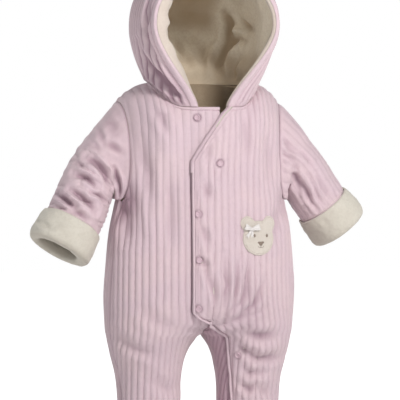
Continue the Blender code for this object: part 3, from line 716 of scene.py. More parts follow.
pink, shadedPink = (0.62, 0.485, 0.53), (0.52, 0.36, 0.42)
# the ribbed velour's second colour is the colour of its painted shade
velour = makeVelour("ribbed velour", pink, (0.31, 0.20, 0.245), (0.65, 0.51, 0.54))
# a darker copy of the velour: painted shade for the underlap lying in the overlap's shadow
shadedVelour = makeVelour("velour facing", shadedPink, (0.34, 0.20, 0.26), shadedPink)
fleece = makeFleece("cream fleece", (0.60, 0.565, 0.495), (0.44, 0.395, 0.33))
# the lining's light colour is brighter than the cream fleece, painted light that lifts the shaded hood, and its
# brown second colour is painted shade; the rim's copy keeps about the cream fleece's colour
liningFleece = makeFleece("cream lining fleece", (0.90, 0.83, 0.70), (0.48, 0.37, 0.25))
# a dark brown copy of the cream fleece: painted shade for the nape deep in the hood
shadedNapeFleece = makeFleece("nape lining fleece", (0.46, 0.36, 0.255), (0.30, 0.22, 0.145))
rimFleece = makeFleece("cream rim fleece", (0.60, 0.52, 0.46), (0.46, 0.37, 0.31))
bearFleece = makeFleece("short cream pile", (0.60, 0.545, 0.49), (0.45, 0.39, 0.335), fleeceLook["bearClump"])
creamThread = makeThread("cream thread", (0.82, 0.72, 0.68), (0.62, 0.50, 0.48))
pinkThread = makeThread("pink thread", (0.66, 0.50, 0.55), (0.46, 0.30, 0.36))
taupeThread = makeThread("taupe thread", (0.30, 0.235, 0.19), (0.15, 0.11, 0.085))
pearlLook = {"scale": 160.0, "light": (0.60, 0.45, 0.50), "shade": (0.50, 0.35, 0.41), "rough": (0.28, 0.4)}
pearlSnap = makeSmooth("pearl snap", **pearlLook, Specular_IOR_Level=0.5)
satinLook = {"scale": 1500.0, "light": (0.74, 0.71, 0.69), "shade": (0.60, 0.56, 0.55), "rough": (0.30, 0.42)}
satin = makeSmooth("white satin ribbon", **satinLook, bump=(0.2, 0.0003), Sheen_Weight=0.1)
print("finishes ready")

rowsUp = (  # from one height to the next, in how many rows
    (cut["hem"], cut["blendLow"], 76),
    (cut["blendLow"], cut["blendTop"], 34),
    (cut["blendTop"], cut["chest"], 50),
    (cut["chest"], cut["chest"] + 0.93 * cut["yoke"], 46),
)
neckRows = (0.93, 0.997, 14)  # the last shares of the yoke, in how many rows


def oddRows(rows):  # with one row more near the start where their number is even
    return rows if len(rows) % 2 else np.insert(rows, 1, (rows[0] + rows[1]) / 2)


levels = [np.linspace(*span, endpoint=False) for span in rowsUp]
levels = oddRows(np.concatenate((*levels, cut["chest"] + cut["yoke"] * np.linspace(*neckRows))))


def sideEdge(face):
    return lambda level: seamEnd(face, level) - cut["gap"] / 2


def middleEdge(face):  # the sewn middle of the back lets no light through
    return lambda level: centreStart(face, level) + (cut["gap"] / 2 if level < cut["crotchTop"] else 0.01)


def boundEdge(level):  # the binding keeps its width where the edge runs aslant
    high, low = min(level + 2.0, top), max(level - 2.0, cut["hem"])
    slope = (overlapStart(high) - overlapStart(low)) / (high - low)
    return overlapStart(level) + placket["binding"] * min(math.hypot(1.0, slope), placket["bindingWidest"])


def underlapStart(level):
    if level < cut["crotchTop"]:
        return middleEdge(1)(level)
    return mix(cut["gap"] / 2, -placket["underlapEdge"], float(ramp(level, cut["crotchTop"], -268.0)))


gridBend = {
    "spread": 14.0,  # rows over which an edge's sudden steps are softened for the columns beside it
    "narrow": 60.0,  # a sheet narrower than this is divided evenly
    "start": 0.5,  # the share of the width that bends to meet each edge
    "end": 0.4,
    "power": 1.5,
}


def bodyGrid(face, rows, startOf, endOf, columns):  # columns run straight up and only bend near the two edges
    spread = np.linspace(0.0, 1.0, columns)
    starts = np.array([startOf(level) for level in rows], dtype=float)
    ends = np.array([endOf(level) for level in rows], dtype=float)
    if (ends - starts).min() < gridBend["narrow"]:
        across = mix(starts[:, None], ends[:, None], spread)
    else:
        softStart, softEnd = (neighbours(len(rows), gridBend["spread"]) @ edge for edge in (starts, ends))
        across = mix(softStart[:, None], softEnd[:, None], spread)
        width = (softEnd - softStart)[:, None]
        nearStart = np.clip(1.0 - (across - softStart[:, None]) / (gridBend["start"] * width), 0.0, 1.0)
        nearEnd = np.clip(1.0 - (softEnd[:, None] - across) / (gridBend["end"] * width), 0.0, 1.0)
        atStart = (starts - softStart)[:, None] * nearStart ** gridBend["power"]
        atEnd = (ends - softEnd)[:, None] * nearEnd ** gridBend["power"]
        across = across + atStart + atEnd
    points = np.array([bodyRow(face, row, level) for row, level in zip(across, rows)])
    return across, points, gridNormals(points, face)


legPress = {
    "steps": (  # how far more, and between which two depths
        (6.0, 303.5, 310.0),
        (-2.0, 320.0, 400.0),
        (-1.5, 420.0, 500.0),
    ),
    "inner": 8.0,  # it is full up to here from the middle, and ends here:
    "outer": 92.0,
}


def legsParted(x, level):  # how far the padding of the legs' inner sides is pressed back below the crotch
    pressed = sum(more * ramp(-level, start, end) for more, start, end in legPress["steps"])
    return pressed * ramp(-x, -legPress["outer"], -legPress["inner"])


def raised(points, normals, out, rows, side):  # keeps the legs' inner sides off the middle plane
    moved = points + normals * np.broadcast_to(out, points.shape[:2])[..., None]
    low = (rows < cut["crotchTop"])[:, None]
    moved[..., 0] = np.where(low, np.maximum(moved[..., 0], cut["gap"] / 2), moved[..., 0])
    moved[..., 0] += legsParted(moved[..., 0], rows[:, None])
    return flipped(moved, side)


panelFolds = {  # each is a depth, a width, and the line it follows on the side that shows it
    "front": (
        (1.7, 3.4, (31.2, -290.0), (34.5, -243.1), (31.9, -200.6)),
        (1.7, 3.2, (31.9, -290.0), (46.5, -254.4), (50.7, -203.6)),
        (1.6, 3.4, (33.1, -290.0), (56.9, -256.0), (66.0, -208.8)),
        (1.5, 3.8, (35.8, -290.6), (69.9, -268.6), (85.5, -232.2)),
        (1.2, 3.4, (37.0, -291.0), (60.0, -284.0), (86.0, -272.0)),
        (2.0, 6.0, (57.9, -305.4), (80.0, -309.4), (102.0, -306.1)),
        (1.8, 4.5, (46.1, -321.1), (60.5, -330.2)),
        (2.2, 6.0, (56.2, -330.2), (77.4, -340.6), (107.2, -336.7)),
        (2.0, 5.0, (54.9, -350.6), (62.7, -358.4), (90.4, -354.0)),
        (2.2, 4.5, (52.6, -370.1), (62.7, -380.0), (70.9, -373.5)),
        (1.4, 6.0, (72.2, -377.0), (93.0, -384.8)),
        (1.6, 5.0, (5.9, -110.5), (13.7, -133.9)),
        (1.5, 4.0, (2.0, -163.8), (12.3, -191.1)),
        (1.8, 4.5, (-0.7, -205.4), (8.5, -221.0)),
        (1.5, 4.0, (8.5, -218.4), (20.2, -252.2), (24.1, -265.2)),
        (1.2, 4.0, (15.0, -57.2), (8.5, -83.2)),
        (2.6, 6.0, (-99.5, -131.3), (-93.0, -154.7), (-87.8, -187.2)),
        (1.8, 6.0, (-85.2, -122.2), (-80.0, -154.7), (-73.5, -187.2)),
        (1.4, 7.0, (-74.8, -57.2), (-63.1, -102.7), (-59.1, -141.7)),
        (1.2, 7.0, (-39.6, -96.2), (-34.5, -148.2), (-34.5, -200.2)),
        (1.0, 7.0, (82.5, -44.2), (90.4, -83.2), (90.4, -122.2)),
        (1.2, 6.0, (111.2, -122.2), (100.8, -154.7), (95.5, -187.2)),
        (1.0, 8.0, (-76.0, -265.2), (-50.1, -288.6), (-24.1, -297.7)),
        (1.2, 6.0, (-104.7, -304.2), (-82.5, -323.7), (-50.1, -332.8)),
        (1.0, 7.0, (-63.1, -362.7), (-37.1, -375.7), (-17.6, -369.2)),
        (1.2, 6.0, (54.0, -24.7), (61.8, -50.7), (61.8, -83.2)),
        (1.6, 5.0, (-56.6, -15.6), (-46.1, -28.6), (-37.1, -50.7)),
    ),
    "back": (
        (1.0, 8.0, (-96.0, -122.0), (-60.0, -142.0), (-18.0, -149.0)),
        (0.7, 7.0, (84.0, -150.0), (52.0, -161.0), (24.0, -160.0)),
        (1.2, 9.0, (-104.0, -206.0), (-62.0, -228.0), (-20.0, -231.0)),
        (0.8, 7.0, (100.0, -240.0), (70.0, -250.0), (34.0, -247.0)),
        (1.5, 6.0, (-4.0, -298.0), (-28.0, -284.0), (-72.0, -270.0)),
        (1.4, 6.0, (6.0, -300.0), (30.0, -290.0), (66.0, -287.0)),
        (1.0, 6.0, (7.0, -303.0), (34.0, -310.0), (80.0, -306.0)),
        (0.9, 6.0, (-34.0, -356.0), (-58.0, -349.0), (-92.0, -341.0)),
        (1.1, 5.5, (34.0, -366.0), (60.0, -359.0), (96.0, -363.0)),
        (0.8, 6.0, (-40.0, -372.0), (-66.0, -377.0), (-90.0, -372.0)),
        (0.7, 6.0, (38.0, -422.0), (62.0, -431.0), (90.0, -428.0)),
        (1.4, 8.0, (-70.0, -40.0), (-78.0, -80.0), (-74.0, -110.0)),
        (1.4, 8.0, (72.0, -44.0), (80.0, -84.0), (74.0, -112.0)),
    ),
}
panels = {
    "front_right": {"face": 1, "side": -1, "start": underlapStart, "seed": 3},
    "front_left": {"face": 1, "side": 1, "start": boundEdge, "seed": 4},
    "back_right": {"face": -1, "side": -1, "start": middleEdge(-1), "seed": 5},
    "back_left": {"face": -1, "side": 1, "start": middleEdge(-1), "seed": 6},
}


def surfaceAt(face, level, across, reach):  # a point of the cloth, its normal and the way across it
    near = bodyRow(face, [across - reach, across, across + reach], level)
    high = bodyRow(face, across, min(level + 0.6, top))[0]
    low = bodyRow(face, across, level - 0.6)[0]
    return near[1], unit(np.cross(near[2] - near[0], high - low)) * face, unit(near[2] - near[0])


def placeOn(level, across, mirrored=False):  # a point of the front, its normal, and the ways across and up it
    point, normal, over = surfaceAt(1, level, across, 1.0)
    if mirrored:
        point, normal, over = flipped(point, -1), flipped(normal, -1), over * (1, -1, -1)
    return point, normal, over, -unit(np.cross(over, normal))


def levelOf(height):
    low, high = cut["hem"], top
    for _ in range(40):  # halving
        middle = (low + high) / 2
        if bodyRow(1, 10.0, middle)[0, 2] < height:
            low = middle
        else:
            high = middle
    return low


snapCut = {
    "radius": 4.0,
    "sides": 48,
    "sunk": 0.9,  # how far each snap is pressed into the cloth
    "dent": 1.3,  # how far the cloth is pressed in beside it, and what share of a rib's height goes:
    "dentRibs": 0.7,
    "dentWide": 6.0,
    "shadeAt": 4.9,
    "shadeWide": 1.5,
    "shade": 0.9,
    "onRibs": 0.65,  # a snap or the bear lies this share of a rib's height up
    "profile": (  # out from the middle as a share of the radius, height in millimetres
        (0.0, 0.25),
        (0.30, 0.22),
        (0.52, 0.18),
        (0.60, 0.45),
        (0.68, 0.95),
        (0.78, 1.15),
        (0.88, 1.05),
        (0.97, 0.65),
        (1.0, 0.15),
        (0.98, -0.5),
        (0.0, -0.5),
    ),
    "places": (  # height, x, share of a rib's height beneath, on the overlap
        ("snap_1", -29.5, 20.6, 1.0, False),
        ("snap_2", -87.0, 7.4, 1.0, True),
        ("snap_3", -152.0, -20.0, 0.5, True),
        ("snap_4", -210.0, -19.5, 0.5, True),
        ("snap_5", -270.0, -20.0, 0.5, True),
        ("snap_6", -334.0, 37.0, 1.0, True),
    ),
}


onRibs = cut["ribHeight"] * snapCut["onRibs"]


def snapPlace(height, x, onTop):
    level = levelOf(height) if height > cut["crotchTop"] else height
    across = acrossAt(1, level, x)
    lift = float(overlapLift(across, level)) if onTop else 0.0
    return *placeOn(level, across, not onTop), lift


def snapDents(places):  # how near each point is to the middle of a snap, in millimetres
    nearest = np.full(places.shape[:2], 1e9)
    for _, height, x, _, onTop in snapCut["places"]:
        nearest = np.minimum(nearest, np.linalg.norm(places - snapPlace(height, x, onTop)[0], axis=-1))
    return nearest


surfaces = {}  # each panel's outer sheet, for what is sewn to it

panelLook = {
    "columns": 193,
    "stray": 0.7,  # how far the ribs wander sideways
    "straySize": (60.0, 45.0, 9.0),
    "forked": (-252.0, -275.0),  # the heights between which the ribs change over from torso to leg
    "forkedLeft": (-292.0, -322.0),
    "ribEdge": 4.5,  # the ribs lie flat this near the edges, and this near the top:
    "ribTop": 9.0,
    "foldEdge": 6.0,
    "foldTop": 12.0,
    "azimuth": {1: -13.0, -1: 180.0},
    "foldWide": 1.15,
    "foldStrength": 2.2,
    "uneven": 0.18,
    "unevenSize": (25.0, 25.0, 40.0),
    "flatInFold": 0.35,
    "dents": 0.7,
    "dentSize": (30.0, 30.0, 38.0),
    "ribShade": 0.44,
    "calm": 0.42,  # the ribs on the right front's yoke are this much lower
    "calmFrom": 8.0,
    "calmFull": 50.0,
    "armpit": (107.0, -36.0, -138.0),
    "armpitShade": {1: 0.55, -1: 1.1},
    "armpitWide": 46.0,
    "armpitFull": 8.0,
    "besideShade": 0.95,  # the dark line beside the overlap's edge
    "besideAt": 0.4,
    "besideWide": 2.3,
    "besideTop": 60.0,
    "gathers": (48.0, 0.0, -276.0),  # where painted shade darkens the cloth at the gathers
    "gathersLower": 0.8,
    "gathersWide": 33.0,
    "gathersShade": 0.55,
    "hemAt": 5.4,  # the stitched line below the neck
    "hemWide": 1.3,
    "hemDeep": 0.6,
    "hemRaised": 0.9,
    "hemSide": 45.0,
    "seamDeep": 1.3,
    "seamShade": 0.85,
    "sideSeam": 2.4,
    "middleSeam": 1.9,
    "middleShare": 0.8,
    "thinnest": 1.2,
}


def frontMarks(side, places, rows, relief, out, trough):  # the shade, dents and hem that only the fronts have
    look = panelLook
    armpit = np.linalg.norm(places - flipped(np.array(look["armpit"]), side), axis=-1)
    near = ramp(-armpit, -look["armpitWide"], -look["armpitFull"])
    trough = np.maximum(trough, look["armpitShade"][side] * near)
    if side < 0:
        beside = overlapEdge(places[..., 2]) - places[..., 0]
        near = bell(beside - look["besideAt"], look["besideWide"]) * (rows < cut["chest"] + look["besideTop"])
        trough = np.maximum(trough, look["besideShade"] * near)
    else:
        # painted shade where the gathers meet, lighter on the rib crests
        away = np.linalg.norm((places - look["gathers"]) * (1.0, 0.0, look["gathersLower"]), axis=-1)
        brushedToneAndShade = look["gathersShade"] * bell(away, look["gathersWide"])
        trough = trough + brushedToneAndShade * (1.0 - 0.4 * relief / cut["ribHeight"])
    toSnap = snapDents(places)
    out = out - (snapCut["dentRibs"] * relief + snapCut["dent"]) * bell(toSnap, snapCut["dentWide"])
    trough = np.maximum(trough, snapCut["shade"] * bell(toSnap - snapCut["shadeAt"], snapCut["shadeWide"]))
    down = top - rows
    stitched = bell(down - look["hemAt"], look["hemWide"]) * (side * places[..., 0] < look["hemSide"])
    hem = ramp(down, 0.6, 2.2) * ramp(down, look["hemAt"], look["hemAt"] - 1.6)
    return out + look["hemRaised"] * hem - look["hemDeep"] * stitched, trough


def makePanel(name, face, side, start, seed):
    look = panelLook
    across, points, _ = bodyGrid(face, levels, start, sideEdge(face), look["columns"])
    points = relaxed(points, levels)
    normals = gridNormals(points, face)
    flat = flatMap(across, points)
    rows = levels[:, None]
    places, facing = flipped(points, side), flipped(normals, side)
    spots = np.stack((across, rows + 0.0 * across, 0.0 * across), axis=-1)
    wander = look["stray"] * softNoise(spots, look["straySize"], seed)
    forked = look["forkedLeft"] if name == "front_left" else look["forked"]
    relief, trough = ribRelief(across - ribShift(face, levels, *forked), wander)
    edge = fromEdges(across)
    pressed = ramp(edge, 0.0, look["ribEdge"]) * ramp(top - rows, 0.4, look["ribTop"])
    free = ramp(edge, 0.0, look["foldEdge"]) * ramp(top - rows, 0.4, look["foldTop"])
    folds = panelFolds["front" if face > 0 else "back"]
    folded = foldDepth(places, facing, folds, look["azimuth"][face], look["foldWide"])
    folded = folded * free * look["foldStrength"]
    uneven = 1.0 + look["uneven"] * softNoise(places, look["unevenSize"], seed + 20)
    uneven = uneven - look["flatInFold"] * foldShade(folded)
    calm = 1.0
    if name == "front_right":
        calm = 1.0 - look["calm"] * ramp(rows - cut["chest"], look["calmFrom"], look["calmFull"])
    dents = look["dents"] * softNoise(places, look["dentSize"], seed + 40)
    dents = dents * ramp(top - rows, 0.4, look["foldTop"])
    out = relief * pressed * uneven * calm + folded + dents
    trough = np.maximum(trough * pressed * look["ribShade"] * calm, foldShade(folded))
    if face > 0:
        out, trough = frontMarks(side, places, rows, relief, out, trough)
    groove = bell(across[:, -1:] - across, look["sideSeam"]) * ramp(cut["chest"] + 10.0 - rows, 0.0, 12.0)
    if face < 0:  # the middle seam of the back
        middle = bell(across - across[:, :1], look["middleSeam"]) * ramp(top - rows, 0.4, 12.0)
        groove = np.maximum(groove, look["middleShare"] * middle)
    out = out - look["seamDeep"] * groove
    trough = np.maximum(trough, look["seamShade"] * groove)
    under = np.full(out.shape, -cut["wall"])
    if name == "front_left":
        lift = np.array([overlapLift(row, level) for row, level in zip(across, levels)])
        out, under = out + lift, under + lift
    outer = raised(points, normals, out, levels, side)
    inner = raised(points, normals, np.minimum(under, out - look["thinnest"]), levels, side)[::2, ::4]
    finishes = [velour, fleece if face > 0 else liningFleece]
    makeCloth(name, "velour", points, outer, inner, flat, trough, finishes)
    surfaces[name] = (across, levels, outer, facing)


for name, spec in panels.items():
    makePanel(name, **spec)
print("front and back panels made")


def rolled(height, at):  # a rounded edge, from 0 to 1 across it
    return height * np.sqrt(np.clip(1.0 - (2.0 * at - 1.0) ** 2, 0.0, 1.0))


edging = {
    "columns": 17,
    "raised": 2.3,
    "sunk": 0.2,
    "uneven": 0.25,
    "unevenSize": (12.0, 12.0, 17.0),
    "seatRoll": 0.5,  # the roll is this much thicker at the seat, between these heights
    "seat": (262.0, 288.0),
    "under": 2.4,
    "creamFrom": -36.0,  # above this height its outer part shows fleece
    "creamShare": 0.56,
    "shaded": 0.5,
}
facingFrom = cut["chest"] + cut["yoke"] * 0.3


def makeEdge(name, low, high, beyond, seed):
    rows = oddRows(np.concatenate(([low], levels[(levels > low + 0.5) & (levels < high - 0.5)], [high])))
    across, points, normals = bodyGrid(
        1,
        rows,
        lambda level: overlapStart(level) - beyond,
        lambda level: boundEdge(level) - cut["gap"],
        edging["columns"],
    )
    at = np.linspace(0.0, 1.0, edging["columns"])[None, :]
    lift = np.array([overlapLift(row, level) for row, level in zip(across, rows)])
    wave = 1.0 + edging["uneven"] * softNoise(points, edging["unevenSize"], seed)
    wave = wave * (1.0 + edging["seatRoll"] * ramp(-rows, *edging["seat"]))[:, None]
    out = lift + rolled(edging["raised"], at) * wave - edging["sunk"]
    trough = np.maximum(0.0, 0.7 - at * 4.0) + np.maximum(0.0, at * 7.0 - 6.2)  # painted shade at both sides of the roll
    trough = np.maximum(trough, edging["shaded"] * ramp(rows, facingFrom, facingFrom + 20.0)[:, None])
    cream = ramp(rows, edging["creamFrom"], edging["creamFrom"] + 14.0)[:, None] * (at > edging["creamShare"])
    outer = raised(points, normals, out, rows, 1)
    inner = raised(points, normals, lift - edging["under"], rows, 1)[::2, ::4]
    sheets = (points, outer, inner, flatMap(across, points), trough)
    makeCloth(name, "velour", *sheets, [velour, fleece], hemOf="FrontLeft", trimmed=cream > 0.5)


makeEdge("placket_binding", cut["hem"], facingFrom, 0.0, 31)
makeEdge("neckline_facing", facingFrom + cut["gap"], levels[-1], placket["facing"], 32)

underlapLook = {
    "columns": 65,
    "sunk": 0.4,
    "from": 9.0,  # it sinks beneath the overlap between these two distances from its edge
    "full": 1.5,
    "ribEdge": 4.0,
    "ribsEnd": 6.0,
    "straySize": (60.0, 45.0, 60.0),
    "seed": 71,
}


def makeLegUnderlap():
    look = underlapLook
    rows = levels[levels <= cut["crotchTop"] + 0.01]
    rows = rows if len(rows) % 2 else rows[1:]
    across, points, normals = bodyGrid(
        1, rows, middleEdge(1), lambda level: overlapStart(level) + placket["tuck"], look["columns"]
    )
    past = across - np.array([overlapStart(level) for level in rows])[:, None]
    lift = -(placket["lift"] + look["sunk"]) * ramp(past, -look["from"], -look["full"])
    wander = panelLook["stray"] * softNoise(points, look["straySize"], look["seed"])
    relief, trough = ribRelief(across, wander)
    out = lift + relief * ramp(fromEdges(across), 0.0, look["ribEdge"]) * ramp(-past, -1.0, look["ribsEnd"])
    outer = raised(points, normals, out, rows, 1)
    inner = raised(points, normals, lift - cut["wall"] + look["sunk"], rows, 1)[::2, ::4]
    sheets = (points, outer, inner, flatMap(across, points), trough)
    # the underlap takes the darker velour copy, painted shade
    makeCloth("leg_underlap", "velour_facing", *sheets, [shadedVelour, fleece])


makeLegUnderlap()

napeCut = {"from": 0.45, "to": 0.997, "rows": 33, "columns": 65, "width": 72.0, "apart": 3.5}
napeCut |= {"dents": 1.2, "dentSize": (13.0, 13.0, 40.0), "puffed": 0.9, "thinnest": 1.0, "seed": 81}


def makeNapeLining(name, side):
    rows = cut["chest"] + cut["yoke"] * np.linspace(napeCut["from"], napeCut["to"], napeCut["rows"])
    across, points, normals = bodyGrid(
        -1, rows, middleEdge(-1), lambda level: napeCut["width"], napeCut["columns"]
    )
    inside = -(cut["wall"] + napeCut["apart"] * cut["gap"])
    dents = napeCut["dents"] * softNoise(flipped(points, side), napeCut["dentSize"], napeCut["seed"])
    out = np.minimum(inside - cut["lining"] + dents - napeCut["puffed"], inside - napeCut["thinnest"])
    outer = raised(points, normals, out, rows, side)
    inner = raised(points, normals, inside, rows, side)[::2, ::4]
    # painted shade where the lining's dents sink back towards the wall; the nape takes the dark brown fleece copy,
    # also painted shade
    shade = np.clip(dents, 0.0, 1.0)
    makeCloth(name, "fleece", points, outer, inner, flatMap(across, points), shade, [shadedNapeFleece])


makeNapeLining("nape_lining_right", -1)
makeNapeLining("nape_lining_left", 1)
print("placket, underlap and nape lining made")

hoodCut = {
    "frontAngle": math.radians(15.8),
    "ribs": 24,
    "side": 89.0,
    "middle": -10.0,
    "backDepth": 98.0,
    "equator": 88.0,
    "crown": 172.0,
    "rimX": 79.5,
    "rimY": -104.0,
    "rimTopY": -100.0,
    "rimTop": 153.0,
    "frontShare": 0.39,
    "leaveOut": 0.12,  # how the walls leave the neck and reach their widest
    "leaveBack": 15.0,
    "leaveFront": 25.0,
    "arriveUp": 37.0,
    "round": 0.92,
    "band": 9.0,
    "bandRaised": 1.2,
    "neckGap": 0.35,
}


def hoodRow(shares, rise):
    front = shares < hoodCut["frontShare"]
    t = 1.0 - shares / hoodCut["frontShare"]
    turn = (shares - hoodCut["frontShare"]) / (1.0 - hoodCut["frontShare"]) * np.pi / 2
    x = np.where(front, mix(hoodCut["side"], hoodCut["rimX"], t**2), hoodCut["side"] * np.cos(turn))
    behind = hoodCut["middle"] + hoodCut["backDepth"] * np.sin(turn)
    y = np.where(front, mix(hoodCut["middle"], hoodCut["rimY"], t), behind)
    topY = np.where(front, mix(hoodCut["middle"], hoodCut["rimTopY"], t), behind)
    fall = hoodCut["equator"] + (hoodCut["crown"] - hoodCut["equator"]) * np.cos(turn)
    crown = np.where(front, mix(hoodCut["crown"], hoodCut["rimTop"], t**2), fall)
    angle = np.where(front, mix(hoodCut["frontAngle"], np.pi / 2, 1.0 - t), np.pi / 2 + turn)
    base = neckline(angle)
    widest = np.stack((x, y, np.full(len(x), hoodCut["equator"])), axis=1)
    if rise < 0.5:
        t, left = rise / 0.5, 1.0 - rise / 0.5
        forward = 1.0 - smooth(shares / hoodCut["frontShare"])
        leave = base + (widest - base) * (hoodCut["leaveOut"], hoodCut["leaveOut"], 0.0)
        leave[:, 2] += mix(hoodCut["leaveBack"], hoodCut["leaveFront"], forward)
        arrive = widest - (0.0, 0.0, hoodCut["arriveUp"])
        return base * left**3 + 3 * (leave * t * left**2 + arrive * t * t * left) + widest * t**3
    turn = (rise - 0.5) / 0.5 * np.pi / 2
    sin, cos = np.sin(turn), np.cos(turn)
    height = mix(hoodCut["equator"], crown, sin ** hoodCut["round"])
    return np.stack((x * cos ** hoodCut["round"], mix(y, topY, sin**2), height), axis=1)


def hoodGrid(shares, rises):
    points = np.array([hoodRow(shares, min(rise, 0.99999)) for rise in rises])
    normals = gridNormals(points, 1)
    if shares[-1] > 0.999:  # the middle of the back, and above it one point
        back = unit(normals[:, -1] * (0.0, 1.0, 1.0))
        normals[:, -1] = np.where(rises[:, None] < 0.5, back, (0.0, 1.0, 0.0))
    normals[-1] = unit(normals[-1] * (0.0, 1.0, 1.0))
    return points, normals


def hoodPlaced(points, normals, out, side, drop=0.0, apart=cut["gap"] / 2):
    moved = points + normals * out[..., None]
    moved[0, :, 2] += hoodCut["neckGap"] - drop
    moved[..., 0] = np.maximum(moved[..., 0], 0.0)
    return (moved + (apart, 0.0, 0.0)) * (side, 1.0, 1.0)


hoodFolds = (
    (2.4, 4.0, (-75.1, 70.2), (-62.1, 39.0), (-49.1, 22.1), (-34.5, 6.0), (-18.9, -9.1)),
    (2.2, 4.0, (-64.4, 49.4), (-51.4, 31.2), (-34.5, 12.3), (-16.2, -7.8)),
    (2.6, 4.5, (-67.7, 20.8), (-51.0, 6.0), (-36.1, -9.0), (-24.1, -13.5)),
    (2.0, 3.0, (-50.7, 130.0), (-59.1, 113.1), (-62.5, 94.9), (-63.6, 81.9), (-60.7, 66.3), (-52.6, 49.4)),
    (1.2, 4.0, (-81.2, 46.8), (-70.9, 27.3), (-63.1, 15.6)),
)
liningFolds = (
    (8.0, 6.5, (38.2, 117.4), (49.3, 97.0), (47.5, 69.0), (38.2, 50.7), (27.0, 35.6), (25.2, 20.8)),
    (6.0, 5.5, (69.5, 71.5), (61.8, 75.4), (54.0, 62.4)),
    (4.5, 5.0, (82.5, 85.8), (69.5, 96.2), (59.1, 109.2)),
    (4.5, 4.5, (61.8, 46.8), (51.4, 31.2), (44.9, 15.6)),
    (1.2, 6.0, (-6.4, 92.8), (-4.2, 66.8), (0.5, 44.0)),
    (2.6, 6.0, (8.5, 66.3), (5.9, 44.2), (9.8, 23.4)),
    (2.6, 5.0, (-37.1, 75.4), (-26.7, 53.3), (-16.2, 33.8)),
)
rimRoll = {  # the lining's soft edge just behind the rim: how far it bulges inwards and how wide it is
    -1: (16.5, 32.0),
    1: (3.2, 14.0),
}
hoodLength = hoodCut["ribs"] * cut["ribPitch"]
bandShare = hoodCut["band"] / hoodLength


hoodRises = np.linspace(0.0, 1.0, 97)
hoodLook = {
    "columns": 241,
    "azimuth": -13.0,
    "foldWide": 0.95,
    "foldStrength": 2.4,
    "foldDeepest": 6.0,
    "stray": 0.7,
    "straySize": 50.0,
    "ribs": 1.5,  # how high its ribs stand, and how much lower they are in the folds
    "ribsFolded": 0.12,
    "ribShade": {-1: 1.2, 1: 0.95},
    "dents": 0.8,
    "dentSize": (34.0, 34.0, 30.0),
    "hollow": 0.48,  # the shade beside the neck
    "hollowDown": (-56.0, -14.0),
    "hollowBeside": (20.0, 40.0),
    "ends": 0.06,  # the ribs lie flat over this share of its height at both ends
    "seamWide": 2.0,
    "seamDeep": 1.0,
    "seamShade": 0.8,
    "bandColumns": 17,
    "bandSunk": 0.7,
    "bandRoll": 1.5,
    "bandUneven": 0.12,
}
liningLook = {
    "columns": 161,
    "under": 1.5,  # gaps between the hood's wall and the lining
    "dents": (1.4, 0.4),
    "dentSizes": ((24.0, 24.0, 30.0), 9.0),
    "loose": 9.0,  # how far it hangs free of the hood, from these places on
    "looseFrom": (24.0, 60.0),
    "uneven": 0.3,
    "unevenSize": (16.0, 16.0, 15.0),
    "foldWide": 1.1,
    "foldStrength": 1.6,
    "clear": 1.6,
    "thinnest": 0.7,
    "drop": 3.2,
    "crownShade": 1.0,
    "crownFrom": (74.0, 106.0),
    "crownSide": (-56.0, -28.0),
    "neckShade": 0.8,
    "neckFrom": (-62.0, -36.0),
    "dentShade": 0.25,
    "foldShade": 6.0,  # a fold this deep is quite dark
}


def hoodCreases(points, normals, across, side):
    look = hoodLook
    start = across[:, :1] if across[0, 0] > 1.0 else across[:, :1] + hoodCut["band"]
    inset = np.minimum(across - start, across[:, -1:] - across)
    free = ramp(inset, 0.0, 7.0) * ramp(hoodRises, 0.02, 0.12)[:, None]
    places, facing = flipped(points, side), flipped(normals, side)
    folded = foldDepth(places, facing, hoodFolds, look["azimuth"], look["foldWide"])
    return np.maximum(folded * free * look["foldStrength"], -look["foldDeepest"])


def hoodSheet(first, last, columns):
    shares = np.linspace(first, last, columns)
    points, normals = hoodGrid(shares, hoodRises)
    across = np.repeat((shares * hoodLength)[None, :], len(hoodRises), axis=0)
    return points, normals, across, flatMap(across, points)


def makeHoodPanel(side, name):
    look = hoodLook
    start = bandShare + cut["gap"] / hoodLength
    points, normals, across, flat = hoodSheet(start, 1.0, look["columns"])
    places = flipped(points, side)
    rises = hoodRises[:, None]
    wander = look["stray"] * softNoise(places, look["straySize"], 101)
    relief, trough = ribRelief(across - across[:, :1], wander)
    edge = fromEdges(across)
    pressed = ramp(edge, 0.0, panelLook["ribEdge"])
    pressed = pressed * ramp(rises, 0.0, look["ends"]) * ramp(1.0 - rises, 0.0, look["ends"])
    folded = hoodCreases(points, normals, across, side)
    dents = look["dents"] * softNoise(places, look["dentSize"], 102) * ramp(rises, 0.0, 0.1)
    out = relief * pressed * (look["ribs"] + look["ribsFolded"] * folded) + dents + folded
    hollow = look["hollow"] * ramp(-places[..., 2], *look["hollowDown"])
    hollow = hollow * ramp(-places[..., 0], *look["hollowBeside"])
    trough = np.maximum(trough * pressed * look["ribShade"][side], foldShade(folded)) + hollow
    seam = bell(edge, look["seamWide"]) * (across > 0.5 * hoodLength)
    out = out - look["seamDeep"] * seam
    trough = np.maximum(trough, look["seamShade"] * seam)
    outer = hoodPlaced(points, normals, out, side)
    inner = hoodPlaced(points, normals, np.minimum(-cut["wall"], out - 1.0), side)[::2, ::4]
    makeCloth(name, "velour", points, outer, inner, flat, trough, [velour, fleece])
    surfaces[name] = (across, hoodRises, outer, flipped(normals, side))


